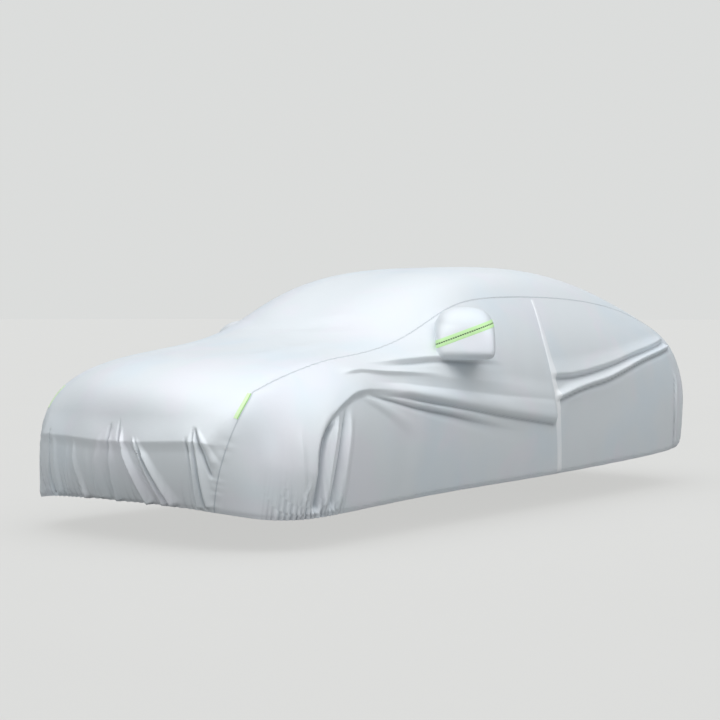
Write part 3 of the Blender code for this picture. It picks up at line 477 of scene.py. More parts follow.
def rounded_path(points: Sequence[Point2]) -> np.ndarray:
    """Round a short row of path points into a finer line that passes through them."""
    row = np.array(points, dtype=float)
    row = np.vstack((2 * row[0] - row[1], row, 2 * row[-1] - row[-2]))
    fine = []
    for before, start, end, after in zip(row, row[1:], row[2:], row[3:]):
        for step in range(PATH_STEPS):
            t = step / PATH_STEPS
            fine.append(0.5 * (2 * start + (end - before) * t
                               + (2 * before - 5 * start + 4 * end - after) * t ** 2
                               + (3 * start - before - 3 * end + after) * t ** 3))
    fine.append(row[-2])
    return np.array(fine)


def grid_faces(rows: int, columns: int, turned: bool = False) -> list[tuple[int, ...]]:
    """Faces of a grid of points given row by row.

    Args:
        rows: Number of rows.
        columns: Number of points in each row.
        turned: Whether the faces look the other way.

    Returns:
        Corner indices of each face.
    """
    corners = (0, 1, columns + 1, columns)
    if turned:
        corners = corners[::-1]
    return [tuple(i * columns + j + corner for corner in corners)
            for i in range(rows - 1) for j in range(columns - 1)]


def reached_along(line: np.ndarray) -> np.ndarray:
    """Distance run along a line at each of its points."""
    return np.concatenate(([0.0], np.cumsum(np.linalg.norm(np.diff(line, axis=0), axis=1))))


def sampled(line: np.ndarray, reached: np.ndarray, wanted: np.ndarray) -> np.ndarray:
    """Points of a line at wanted places, where each of its own points has a place."""
    return np.stack([np.interp(wanted, reached, line[:, k]) for k in range(line.shape[1])], axis=1)


def unit_rows(rows: np.ndarray) -> np.ndarray:
    """Scale each row to a length of 1."""
    return rows / np.linalg.norm(rows, axis=1, keepdims=True)


def up_the_cloth(normal: np.ndarray) -> np.ndarray:
    """Direction in the cloth that climbs most steeply, at each normal."""
    return unit_rows(np.array((0.0, 0.0, 1.0)) - normal * normal[:, 2:3])


def neighbours(pairs: np.ndarray) -> dict[int, list[int]]:
    """Points joined to each point by edges."""
    beside: dict[int, list[int]] = {}
    for a, b in pairs.tolist():
        beside.setdefault(a, []).append(b)
        beside.setdefault(b, []).append(a)
    return beside


def walk(beside: dict[int, list[int]], start: int) -> list[int]:
    """Follow joined points from a start to the end, or round to the start again."""
    chain = [start]
    previous, current = None, start
    while True:
        onward = [index for index in beside[current] if index != previous]
        if not onward or onward[0] == start:
            return chain
        previous, current = current, onward[0]
        chain.append(current)


def last_where(holds: Callable[[float], bool], limit: float, halvings: int) -> float:
    """Last value up to a limit where something that holds at 0 still holds."""
    low, high = 0.0, limit
    for _ in range(halvings):
        middle = (low + high) / 2
        if holds(middle):
            low = middle
        else:
            high = middle
    return low


def turn_to(piece: bpy.types.Object, outward: Sequence[float]) -> None:
    """Turn a piece's faces so that on the whole they look one way."""
    if sum(face.normal.dot(Vector(outward)) for face in piece.data.polygons) < 0:
        piece.data.flip_normals()


# --------------------------------------------------------------------------------------------
# The draped cloth
# --------------------------------------------------------------------------------------------


@dataclass
class Drape:
    """The whole folded cloth, before it is cut into its panels.

    Attributes:
        detail: Levels of subdivision between the cage and the cloth.
        waves_seed: Seed of the small uneven waves.
        slack: Depth of the small waves that run down the skirts.
        slack_count: Number of plane waves that add up to them.
        slack_pitches: Shortest and longest pitch of these.
        slack_lean: How far these may lean.
        pucker: Depth of the puckers beside the seams.
        pucker_pitch: Distance from one pucker to the next.
        pucker_reach: How far the puckers run from the seam.
        seam_zone: Distance from the middle of the car beyond which the seams are looked for.
        hem_roll: How far the elastic draws the hem in.
        hem_roll_reach: How far up this is felt.
        hem_zone: Height below which the hem is looked for.
        gather_zone: Distance from the hem within which there are gathers.
    """

    detail: int = 5
    waves_seed: int = 7
    slack: float = 0.0016
    slack_count: int = 7
    slack_pitches: Point2 = (0.16, 0.42)
    slack_lean: float = 0.55
    pucker: float = 0.0014
    pucker_pitch: float = 0.043
    pucker_reach: float = 0.030
    seam_zone: float = 0.50
    hem_roll: float = 0.007
    hem_roll_reach: float = 0.016
    hem_zone: float = 0.62
    gather_zone: float = 0.30
    points: np.ndarray = field(init=False)
    # Share of painted shade at each point, along narrow valley bottoms.
    painted_crease_shade: np.ndarray = field(init=False)
    normals: np.ndarray = field(init=False)
    faces: np.ndarray = field(init=False)
    panels: np.ndarray = field(init=False)
    uv: np.ndarray = field(init=False)
    hem_set: set[int] = field(init=False)

    def __post_init__(self) -> None:
        """Build the smooth form and put the folds on it."""
        cloth = self.smooth_form()
        self.read(cloth)
        self.points = self.points + self.normals * self.relief()[:, None]
        cloth.vertices.foreach_set("co", self.points.ravel())
        cloth.update()
        self.normals = vectors(cloth.vertices, "normal")
        self.hem_set = set(self.hem_loop())
        bpy.data.meshes.remove(cloth)

    @staticmethod
    def across(middle: Sequence[float], seam: Sequence[float], share: float, power: float) -> Vector:
        """Point between the middle line and the seam, flatter in the middle than a straight line."""
        drop = abs(share) ** power
        y = middle[0] + (seam[1] - middle[0]) * drop
        z = middle[1] + (seam[2] - middle[1]) * drop
        return Vector((seam[0] * share, y, z))

    @staticmethod
    def side_column(station: Station, sign: int) -> list[Vector]:
        """Points below the seam at one section, from the shoulder to the hem."""
        _, seam_y, seam_z = station.seam
        hem_x, hem_y, hem_z = station.hem
        column = []
        for x, z in (station.shoulder, station.belt, station.sill, (hem_x, hem_z)):
            down = (seam_z - z) / (seam_z - hem_z)
            column.append(Vector((sign * x, seam_y + (hem_y - seam_y) * math.sin(down * math.pi / 2), z)))
        return column

    def end_column(self, levels: Sequence[EndLevel], share: float) -> list[Vector]:
        """Points below the top edge at one column of the nose or the tail."""
        return [self.across(level.middle, level.seam, share, END_POWER) for level in levels[1:]]

    def smooth_form(self) -> bpy.types.Mesh:
        """Subdivide the coarse cage of the stations into the smooth form.

        Returns:
            A mesh whose material index names the panel and whose UV map is the flat cloth.
        """
        shares = [-share for share in reversed(COLUMN_SHARES)] + [0.0] + list(COLUMN_SHARES)
        rows = [(FRONT_LEVELS[0].middle, FRONT_LEVELS[0].seam, END_POWER)]
        rows += [(station.crown[:2], station.seam, station.crown[2]) for station in STATIONS]
        rows += [(REAR_LEVELS[0].middle, REAR_LEVELS[0].seam, END_POWER)]
        bm = bmesh.new()
        grid = [[bm.verts.new(self.across(middle, seam, share, power)) for share in shares]
                for middle, seam, power in rows]
        flat = bm.loops.layers.uv.new("cloth")
        place: dict[bmesh.types.BMFace, list[Point2]] = {}
        along = np.cumsum([0.0] + [(b[4].co - a[4].co).length for a, b in zip(grid, grid[1:])])
        for i, (upper, lower) in enumerate(zip(grid, grid[1:])):
            for j in range(len(shares) - 1):
                face = bm.faces.new((upper[j], upper[j + 1], lower[j + 1], lower[j]))
                face.material_index = Panel.CENTRE.value
                corners = ((i, j), (i, j + 1), (i + 1, j + 1), (i + 1, j))
                place[face] = [(grid[r][c].co.x * CROWN_STRETCH, along[r]) for r, c in corners]
        ring = [(vert, self.end_column(FRONT_LEVELS, share), Panel.CENTRE)
                for share, vert in zip(shares, grid[0])]
        ring[-1] = (*ring[-1][:2], Panel.LEFT)
        ring += [(row[-1], self.side_column(station, 1), Panel.LEFT)
                 for station, row in zip(STATIONS, grid[1:])]
        ring += [(vert, self.end_column(REAR_LEVELS, share), Panel.CENTRE)
                 for share, vert in reversed(list(zip(shares, grid[-1])))]
        ring[-1] = (*ring[-1][:2], Panel.RIGHT)
        ring += [(row[0], self.side_column(station, -1), Panel.RIGHT)
                 for station, row in reversed(list(zip(STATIONS, grid[1:])))]
        skirt = [[vert] + [bm.verts.new(point) for point in below] for vert, below, _ in ring]
        girth = 0.0
        for i, column in enumerate(skirt):
            following = skirt[(i + 1) % len(skirt)]
            step = (following[2].co - column[2].co).length
            depth = 0.0
            for a, b, c, d in zip(column, column[1:], following[1:], following):
                down = depth + (b.co - a.co).length
                face = bm.faces.new((a, b, c, d))
                face.material_index = ring[i][2].value
                place[face] = [(girth, -depth), (girth, -down), (girth + step, -down), (girth + step, -depth)]
                depth = down
            girth += step
        for face, corners in place.items():
            for loop, corner in zip(face.loops, corners):
                loop[flat].uv = corner
        mesh = bpy.data.meshes.new("drape")
        bm.to_mesh(mesh)
        bm.free()
        form = link_mesh("drape", mesh)
        for panel in Panel:
            mesh.materials.append(bpy.data.materials.new(panel.name))
        smooth = form.modifiers.new("smooth", "SUBSURF")
        smooth.levels = self.detail
        smooth.render_levels = self.detail
        done = evaluated_mesh(form)
        bpy.data.objects.remove(form)
        return done

    def read(self, mesh: bpy.types.Mesh) -> None:
        """Read the points, normals, faces, panels and flat places of a mesh."""
        self.points = vectors(mesh.vertices, "co")
        self.normals = vectors(mesh.vertices, "normal")
        corners = np.empty(len(mesh.loops), dtype=np.int32)
        mesh.loops.foreach_get("vertex_index", corners)
        self.faces = corners.reshape(-1, 4)
        self.panels = np.empty(len(mesh.polygons), dtype=np.int32)
        mesh.polygons.foreach_get("material_index", self.panels)
        self.uv = vectors(mesh.uv_layers["cloth"].data, "uv", 2).reshape(-1, 4, 2)

    def relief(self) -> np.ndarray:
        """Height of all folds, gathers, puckers and waves at each point.

        Shade painted along the bottoms of narrow valleys is kept for the cloth's colour.
        """
        height = np.zeros(len(self.points))
        self.painted_crease_shade = np.zeros(len(self.points))
        for fold in FOLDS:
            u, v, toward, fade_from, fade_to = fold.facing.value
            flat = self.points[:, (u, v)]
            path = np.array(fold.path)
            margin = max(fold.widths) * max(fold.spread) + FOLD_MARGIN
            near = np.all((flat > path.min(axis=0) - margin) & (flat < path.max(axis=0) + margin), axis=1)
            part = np.nonzero(near)[0]
            share = ease(fade_from, fade_to, self.normals[part] @ np.array(toward))
            part, share = part[share > 0], share[share > 0]
            swell = share * self.fold_height(flat[part], fold)
            height[part] += swell
            # A crisp valley gets painted shade along its bottom, which darkens the cloth's colour there.
            if fold.crest is Crest.CRISP and fold.height < 0:
                painted_shade_amount = (swell / fold.height) ** PAINTED_SHADE_POWER * min(1.0, -fold.height / PAINTED_SHADE_FULL_DEPTH)
                self.painted_crease_shade[part] = np.maximum(self.painted_crease_shade[part], painted_shade_amount)
        height += self.hem_gathers()
        height += self.seam_puckers()
        height += self.slack_waves()
        return height

    @staticmethod
    def fold_height(uv: np.ndarray, fold: Fold) -> np.ndarray:
        """Height that one fold gives to points of its face."""
        path = rounded_path(fold.path)
        steps = np.diff(path, axis=0)
        lengths = np.linalg.norm(steps, axis=1)
        reached = reached_along(path)
        nearest = np.full(len(uv), np.inf)
        side = np.zeros(len(uv))
        along = np.zeros(len(uv))
        for start, step, length, before in zip(path, steps, lengths, reached):
            local = uv - start
            t = np.clip(local @ step / length ** 2, 0.0, 1.0)
            gap = local - t[:, None] * step
            distance = np.linalg.norm(gap, axis=1)
            closer = distance < nearest
            nearest[closer] = distance[closer]
            side[closer] = (step[0] * gap[:, 1] - step[1] * gap[:, 0])[closer]
            along[closer] = ((before + t * length) / reached[-1])[closer]
        spread = fold.spread[0] + (fold.spread[1] - fold.spread[0]) * along
        share = np.clip(nearest / (np.where(side > 0, *fold.widths) * spread), 0.0, 1.0)
        bump = 0.5 + 0.5 * np.cos(np.pi * share)
        if fold.crest is Crest.CRISP:
            bump = CRISP_SWELL * bump + (1.0 - CRISP_SWELL) * (1.0 - share) ** 2
        elif fold.crest is Crest.ROUND:
            bump = ROUND_SWELL * bump + (1.0 - ROUND_SWELL) * (1.0 - share ** 2)
        return fold.height * bump * ease(0.0, fold.fades[0], along) * ease(0.0, fold.fades[1], 1.0 - along)

    def nearest_on(self, line: Sequence[int], values: np.ndarray,
                   near: np.ndarray) -> tuple[np.ndarray, np.ndarray]:
        """Measure points of the cloth against a line of its points.

        Args:
            line: Points of the line.
            values: A value for each of them.
            near: Whether each point of the cloth is measured.

        Returns:
            Distance of each point to the line, or 1 where it isn't measured, and the value of the
            line's nearest point.
        """
        tree = KDTree(len(line))
        for index, point in enumerate(line):
            tree.insert(self.points[point], index)
        tree.balance()
        distance = np.full(len(self.points), 1.0)
        found = np.zeros(len(self.points))
        for index in np.nonzero(near)[0]:
            _, nearest, distance[index] = tree.find(self.points[index])
            found[index] = values[nearest]
        return distance, found

    def edges(self) -> np.ndarray:
        """Ends of the edges of all faces, the lower index first."""
        return np.sort(np.concatenate([self.faces[:, (i, (i + 1) % 4)] for i in range(4)]), axis=1)

    def hem_loop(self) -> list[int]:
        """Points of the hem in order round the cover."""
        edges = self.edges()
        _, first, counts = np.unique(edges, axis=0, return_index=True, return_counts=True)
        beside = neighbours(edges[first[counts == 1]])
        return walk(beside, min(beside, key=lambda index: abs(self.points[index][0]) + self.points[index][1]))

    def hem_gathers(self) -> np.ndarray:
        """Small pleats that the hem's elastic draws up, with shade painted into their valleys."""
        loop = self.hem_loop()
        gap, round_hem = self.nearest_on(loop, reached_along(self.points[loop]),
                                         self.points[:, 2] < self.hem_zone)
        rng = np.random.default_rng(self.waves_seed)
        height = np.zeros(len(self.points))
        near = gap < self.gather_zone
        gap, round_hem, plan = gap[near], round_hem[near], self.points[near][:, :2]
        height[near] -= self.hem_roll * np.exp(-(gap / self.hem_roll_reach) ** 2)
        for gather in GATHERS:
            away = np.linalg.norm(plan - np.array(gather.middle), axis=1)
            share = 1.0 - ease(GATHER_CORE * gather.reach, gather.reach, away)
            phase, second = rng.uniform(0.0, math.tau, 2)
            turn = round_hem * math.tau / gather.pitch
            wander = sum(size * np.sin(turn / slowness + start)
                         for (size, slowness), start in zip(PLEAT_WANDERS, (second, phase)))
            reach = PLEAT_LENGTH + PLEAT_LENGTH * (0.5 + 0.5 * np.sin(turn / PLEAT_UNEVEN + second))
            fall = np.exp(-(gap / reach) ** PLEAT_FALL)
            wave = np.sin(turn + wander)
            height[near] += gather.depth * share * fall * wave
            # Painted shade in the pleats' valleys.
            painted_shade_amount = np.clip(-wave, 0.0, 1.0) ** 3 * share * fall * min(1.0, gather.depth / PAINTED_SHADE_FULL_DEPTH)
            self.painted_crease_shade[near] = np.maximum(self.painted_crease_shade[near], PLEAT_PAINTED_SHADE * painted_shade_amount)
        return height

    def seam_points(self) -> set[int]:
        """Points that the centre panel shares with a side panel."""
        centre = set(self.faces[self.panels == Panel.CENTRE.value].ravel().tolist())
        sides = set(self.faces[self.panels != Panel.CENTRE.value].ravel().tolist())
        return centre & sides

    def seam_puckers(self) -> np.ndarray:
        """Fine puckers that the seam's thread draws up on both sides of it."""
        seam = sorted(self.seam_points())
        down = self.points[seam, 1] - self.points[seam, 2]
        distance, along = self.nearest_on(seam, down, np.abs(self.points[:, 0]) > self.seam_zone)
        turn = along * math.tau / self.pucker_pitch
        uneven = 0.5 + 0.5 * np.sin(turn / 5.1 + 1.3) * np.sin(turn / 2.3)
        wave = np.sin(turn + 1.4 * np.sin(turn / 3.7)) * (0.35 + 0.65 * uneven)
        return self.pucker * wave * np.exp(-(distance / self.pucker_reach) ** 2)

    def slack_waves(self) -> np.ndarray:
        """Long shallow waves of the skirts, from a few seeded plane waves."""
        rng = np.random.default_rng(self.waves_seed + 1)
        x, y, z = self.points.T
        height = np.zeros(len(self.points))
        for _ in range(self.slack_count):
            pitch = rng.uniform(*self.slack_pitches)
            lean = rng.uniform(-self.slack_lean, self.slack_lean)
            phase = rng.uniform(0.0, math.tau)
            height += np.sin((y + 0.8 * x + lean * (z - 0.2)) * math.tau / pitch + phase)
        upright = 1.0 - ease(*SLACK_FLAT, np.abs(self.normals[:, 2]))
        lower = SLACK_ABOVE + (1.0 - SLACK_ABOVE) * (1.0 - ease(*SLACK_HIGH, z))
        return self.slack * height / math.sqrt(self.slack_count) * upright * lower

    def seam_chain(self, side: Side) -> list[int]:
        """Points of one seam in order from the front hem to the rear hem."""
        chosen = [index for index in self.seam_points() if self.points[index][0] * side.value > 0]
        edges = self.edges()
        order = np.lexsort((edges[:, 1], edges[:, 0]))
        pairs, owner = edges[order], np.tile(self.panels, 4)[order]
        shared = np.all(pairs[1:] == pairs[:-1], axis=1) & (owner[1:] != owner[:-1])
        seam = pairs[1:][shared]
        beside = neighbours(seam[np.all(np.isin(seam, chosen), axis=1)])
        ends = [index for index, others in beside.items() if len(others) == 1]
        return walk(beside, min(ends, key=lambda index: self.points[index][1]))

    def surface(self, panel: Panel | None = None) -> BVHTree:
        """Search tree over one panel's faces, or over all, in the tables' coordinates."""
        faces = self.faces if panel is None else self.faces[self.panels == panel.value]
        return BVHTree.FromPolygons(self.points.tolist(), faces.tolist())


# --------------------------------------------------------------------------------------------
# Finishes
# --------------------------------------------------------------------------------------------


@dataclass
class NodeSketch:
    """Short way to add and join nodes of one tree."""

    tree: bpy.types.NodeTree

    def add(self, kind: str, **settings: object) -> bpy.types.Node:
        """Add a node and set its properties, and its inputs where a name is one of them.

        Args:
            kind: Blender's type name of the node.
            settings: Property values; a socket's name has its spaces written as underscores.

        Returns:
            The new node.
        """
        node = self.tree.nodes.new(kind)
        for key, value in settings.items():
            if hasattr(node, key):
                setattr(node, key, value)
            else:
                self.put(node.inputs[key.replace("_", " ")], value)
        return node

    def put(self, socket: bpy.types.NodeSocket, value: object) -> None:
        """Set a socket to a value, or join it to another node's output."""
        if isinstance(value, bpy.types.NodeSocket):
            self.tree.links.new(value, socket)
        else:
            socket.default_value = value

    def fill(self, node: bpy.types.Node, **values: object) -> None:
        """Set or join several inputs of a node, whose names have their spaces written as underscores."""
        for key, value in values.items():
            self.put(node.inputs[key.replace("_", " ")], value)

    def bump(self, height: bpy.types.NodeSocket, strength: float, distance: float,
             **more: object) -> bpy.types.NodeSocket:
        """Add a bump node and give its normal."""
        node = self.add("ShaderNodeBump", Height=height, Strength=strength, Distance=distance, **more)
        return node.outputs["Normal"]

    def math(self, operation: str, *values: object) -> bpy.types.NodeSocket:
        """Add a maths node and give its result."""
        node = self.tree.nodes.new("ShaderNodeMath")
        node.operation = operation
        for socket, value in zip(node.inputs, values):
            self.put(socket, value)
        return node.outputs[0]

    def mix(self, share: object, first: object, second: object) -> bpy.types.NodeSocket:
        """Mix two colours and give the result."""
        node = self.tree.nodes.new("ShaderNodeMix")
        node.data_type = "RGBA"
        for socket, value in zip((node.inputs[0], node.inputs[6], node.inputs[7]), (share, first, second)):
            self.put(socket, value)
        return node.outputs[2]

    def ramp(self, value: object, low: float, high: float) -> bpy.types.NodeSocket:
        """Ease a value from 0 at low to 1 at high."""
        node = self.tree.nodes.new("ShaderNodeMapRange")
        node.interpolation_type = "SMOOTHSTEP"
        self.put(node.inputs["Value"], value)
        node.inputs["From Min"].default_value = low
        node.inputs["From Max"].default_value = high
        return node.outputs[0]


def shader_group(name: str, inputs: dict[str, str], outputs: dict[str, str]) -> tuple[
        bpy.types.NodeTree, bpy.types.Node, bpy.types.Node]:
    """Start a shader node group with named sockets.

    Args:
        name: Name of the group.
        inputs: Socket type of each named input.
        outputs: Socket type of each named output.

    Returns:
        The group, its input node and its output node.
    """
    group = bpy.data.node_groups.new(name, "ShaderNodeTree")
    for in_out, sockets in (("INPUT", inputs), ("OUTPUT", outputs)):
        for socket, kind in sockets.items():
            group.interface.new_socket(name=socket, in_out=in_out, socket_type=kind)
    return group, group.nodes.new("NodeGroupInput"), group.nodes.new("NodeGroupOutput")


def weave_group() -> bpy.types.NodeTree:
    """Group for a plain weave, from the flat place of the cloth in metres."""
    name = "plain_weave"
    if name in bpy.data.node_groups:
        return bpy.data.node_groups[name]
    group, given, made = shader_group(name, {"Place": "NodeSocketVector", "Pitch": "NodeSocketFloat"},
                                      {"Height": "NodeSocketFloat"})
    sketch = NodeSketch(group)
    split = sketch.add("ShaderNodeSeparateXYZ", Vector=given.outputs["Place"])
    turn = sketch.math("DIVIDE", math.tau, given.outputs["Pitch"])
    waves = [sketch.math("SINE", sketch.math("MULTIPLY", split.outputs[axis], turn)) for axis in (0, 1)]
    over = sketch.math("MULTIPLY", *waves)
    sketch.put(made.inputs["Height"], sketch.math("MULTIPLY_ADD", over, 0.5, 0.5))
    return group


def crinkle_group() -> bpy.types.NodeTree:
    """Group for the fine crinkles and cloudy tints of coated cloth."""
    name = "coated_crinkle"
    if name in bpy.data.node_groups:
        return bpy.data.node_groups[name]
    group, given, made = shader_group(
        name,
        {"Place": "NodeSocketVector", "Colour": "NodeSocketColor", "Cool Tint": "NodeSocketColor",
         "Warm Tint": "NodeSocketColor", "Tint Share": "NodeSocketFloat", "Roughness": "NodeSocketFloat"},
        {"Colour": "NodeSocketColor", "Roughness": "NodeSocketFloat", "Height": "NodeSocketFloat"})
    sketch = NodeSketch(group)
    place = given.outputs["Place"]
    cool = sketch.add("ShaderNodeTexNoise", Vector=place, Scale=1.7, Detail=2.0)
    warm = sketch.add("ShaderNodeTexNoise", Vector=place, Scale=2.9, Detail=2.0, Distortion=0.6)
    coarse = sketch.add("ShaderNodeTexNoise", Vector=place, Scale=11.0, Detail=4.0, Roughness=0.55)
    fine = sketch.add("ShaderNodeTexNoise", Vector=place, Scale=47.0, Detail=3.0, Roughness=0.5)
    cool_share = sketch.math("MULTIPLY", sketch.ramp(cool.outputs["Fac"], 0.42, 0.70),
                             given.outputs["Tint Share"])
    warm_share = sketch.math("MULTIPLY", sketch.ramp(warm.outputs["Fac"], 0.46, 0.72),
                             given.outputs["Tint Share"])
    tinted = sketch.mix(cool_share, given.outputs["Colour"], given.outputs["Cool Tint"])
    sketch.put(made.inputs["Colour"], sketch.mix(warm_share, tinted, given.outputs["Warm Tint"]))
    uneven = sketch.math("MULTIPLY_ADD", coarse.outputs["Fac"], 0.16, -0.08)
    sketch.put(made.inputs["Roughness"], sketch.math("ADD", given.outputs["Roughness"], uneven))
    height = sketch.math("MULTIPLY_ADD", fine.outputs["Fac"], 0.22, coarse.outputs["Fac"])
    sketch.put(made.inputs["Height"], height)
    return group


def new_finish(name: str) -> tuple[bpy.types.Material, NodeSketch, bpy.types.Node]:
    """Start a material, with a sketch of its nodes and its shader."""
    made = bpy.data.materials.new(name)
    made.use_nodes = True
    return made, NodeSketch(made.node_tree), made.node_tree.nodes["Principled BSDF"]


@dataclass(frozen=True)
class SatinCloth:
    """Silver-coated woven cloth with a soft satin gloss, with shade painted along its narrow valleys."""

    colour: Color = (0.80, 0.84, 0.87)
    cool: Color = (0.72, 0.82, 0.90)
    warm: Color = (0.84, 0.82, 0.88)
    inside: Color = (0.42, 0.44, 0.47)
    # Painted shade: the colour mixed in along narrow valley bottoms, and the most of it that is mixed in.
    painted_shade_colour: Color = (0.30, 0.33, 0.37)
    painted_shade_share: float = 0.78
    tint_share: float = 0.45
    roughness: float = 0.54
    metallic: float = 0.28
    crinkle: float = 0.0016
    weave_pitch: float = 0.0016

    def material(self, name: str) -> bpy.types.Material:
        """Build the material for one piece."""
        made, sketch, shader = new_finish(name)
        crinkle = sketch.add("ShaderNodeGroup", node_tree=crinkle_group())
        sketch.fill(crinkle, Place=sketch.add("ShaderNodeTexCoord").outputs["Object"],
                    Colour=(*self.colour, 1.0), Cool_Tint=(*self.cool, 1.0), Warm_Tint=(*self.warm, 1.0),
                    Tint_Share=self.tint_share, Roughness=self.roughness)
        weave = sketch.add("ShaderNodeGroup", node_tree=weave_group())
        sketch.fill(weave, Place=sketch.add("ShaderNodeUVMap", uv_map="cloth").outputs["UV"],
                    Pitch=self.weave_pitch)
        hidden = sketch.add("ShaderNodeNewGeometry").outputs["Backfacing"]
        # Painted shade along narrow valley bottoms, from the mesh's crease_shade attribute.
        painted_shade_amount = sketch.add("ShaderNodeAttribute", attribute_name="crease_shade").outputs["Fac"]
        shaded = sketch.mix(sketch.math("MULTIPLY", painted_shade_amount, self.painted_shade_share), crinkle.outputs["Colour"],
                            (*self.painted_shade_colour, 1.0))
        threads = sketch.bump(weave.outputs["Height"], 0.35, 0.0002)
        sketch.fill(shader, Base_Color=sketch.mix(hidden, shaded, (*self.inside, 1.0)),
                    Roughness=crinkle.outputs["Roughness"], Metallic=self.metallic, Specular_IOR_Level=0.55,
                    Normal=sketch.bump(crinkle.outputs["Height"], 0.6, self.crinkle, Normal=threads))
        return made


@dataclass(frozen=True)
class LinedTape:
    """Woven band with a line along it, such as a reflective tape or the binding of a seam.

    The UV map holds metres along the band and, across it, 0 to 1 from edge to edge.
    """

    colour: Color
    line_colour: Color
    line_at: float = 0.5
    line_width: float = 0.16
    dash: float = 0.0
    roughness: float = 0.35
    metallic: float = 0.0
    # Painted light: strength of light the band gives off in its own colour, though it is no lamp.
    painted_glow: float = 0.0
    rib_pitch: float = 0.0012

    def material(self, name: str) -> bpy.types.Material:
        """Build the material for one piece."""
        made, sketch, shader = new_finish(name)
        flat = sketch.add("ShaderNodeUVMap", uv_map="cloth").outputs["UV"]
        along, across, _ = sketch.add("ShaderNodeSeparateXYZ", Vector=flat).outputs
        off = sketch.math("ABSOLUTE", sketch.math("SUBTRACT", across, self.line_at))
        line = sketch.math("SUBTRACT", 1.0, sketch.ramp(off, self.line_width * 0.44, self.line_width * 0.56))
        if self.dash:
            wave = sketch.math("SINE", sketch.math("MULTIPLY", along, math.tau / self.dash))
            line = sketch.math("MULTIPLY", line, sketch.ramp(wave, -0.75, -0.35))
        speckle = sketch.add("ShaderNodeTexNoise", Vector=flat, Scale=60.0, Detail=2.0).outputs["Fac"]
        shade = tuple(0.88 * value for value in self.colour)
        base = sketch.mix(sketch.ramp(speckle, 0.35, 0.75), (*self.colour, 1.0), (*shade, 1.0))
        coloured = sketch.mix(line, base, (*self.line_colour, 1.0))
        ribs = sketch.math("SINE", sketch.math("MULTIPLY", along, math.tau / self.rib_pitch))
        # Emission here is painted light.
        sketch.fill(shader, Base_Color=coloured, Emission_Color=coloured, Emission_Strength=self.painted_glow,
                    Roughness=sketch.math("MULTIPLY_ADD", speckle, 0.14, self.roughness - 0.07),
                    Metallic=self.metallic, Normal=sketch.bump(ribs, 0.4, 0.0002))
        return made


@dataclass(frozen=True)
class SewingThread:
    """Twisted sewing thread."""

    colour: Color = (0.22, 0.25, 0.29)
    roughness: float = 0.55

    def material(self, name: str) -> bpy.types.Material:
        """Build the material for one piece."""
        made, sketch, shader = new_finish(name)
        place = sketch.add("ShaderNodeTexCoord").outputs["Object"]
        twist = sketch.add("ShaderNodeTexNoise", Vector=place, Scale=900.0, Detail=1.0).outputs["Fac"]
        faded = sketch.add("ShaderNodeTexNoise", Vector=place, Scale=6.0, Detail=2.0).outputs["Fac"]
        light = tuple(min(1.0, 1.5 * value) for value in self.colour)
        colour = sketch.mix(sketch.ramp(faded, 0.35, 0.7), (*self.colour, 1.0), (*light, 1.0))
        rough = sketch.math("MULTIPLY_ADD", faded, 0.2, self.roughness - 0.1)
        sketch.fill(shader, Base_Color=colour, Roughness=rough, Normal=sketch.bump(twist, 0.3, 0.0003))
        return made


@dataclass(frozen=True)
class StudioPaper:
    """Matt pale paper of the floor, lit through from below, which throws little light back."""

    colour: Color = (0.655, 0.657, 0.645)
    thrown_back: float = 0.50
    shaded_share: float = 0.16
    lit_through: float = 0.885

    def material(self, name: str) -> bpy.types.Material:
        """Build the material for the floor."""
        made, sketch, shader = new_finish(name)
        place = sketch.add("ShaderNodeTexCoord").outputs["Object"]
        cloud = sketch.add("ShaderNodeTexNoise", Vector=place, Scale=0.7, Detail=2.0)
        deep = tuple(0.985 * value for value in self.colour)
        paper = sketch.mix(cloud.outputs["Fac"], (*self.colour, 1.0), (*deep, 1.0))
        dim = tuple(self.thrown_back * value for value in self.colour)
        black = (0.0, 0.0, 0.0, 1.0)
        seen = sketch.add("ShaderNodeLightPath").outputs["Is Camera Ray"]
        top = sketch.mix(self.shaded_share, black, paper)
        sketch.fill(shader, Base_Color=sketch.mix(seen, (*dim, 1.0), top),
                    Emission_Color=sketch.mix(seen, black, paper), Emission_Strength=self.lit_through,
                    Roughness=0.9)
        return made


def dress(piece: bpy.types.Object, finish: SatinCloth | LinedTape) -> bpy.types.Object:
    """Give a piece a finish of its own and return it."""
    piece.data.materials.append(finish.material(piece.name))
    return piece


# --------------------------------------------------------------------------------------------
# Cloth panels
# --------------------------------------------------------------------------------------------


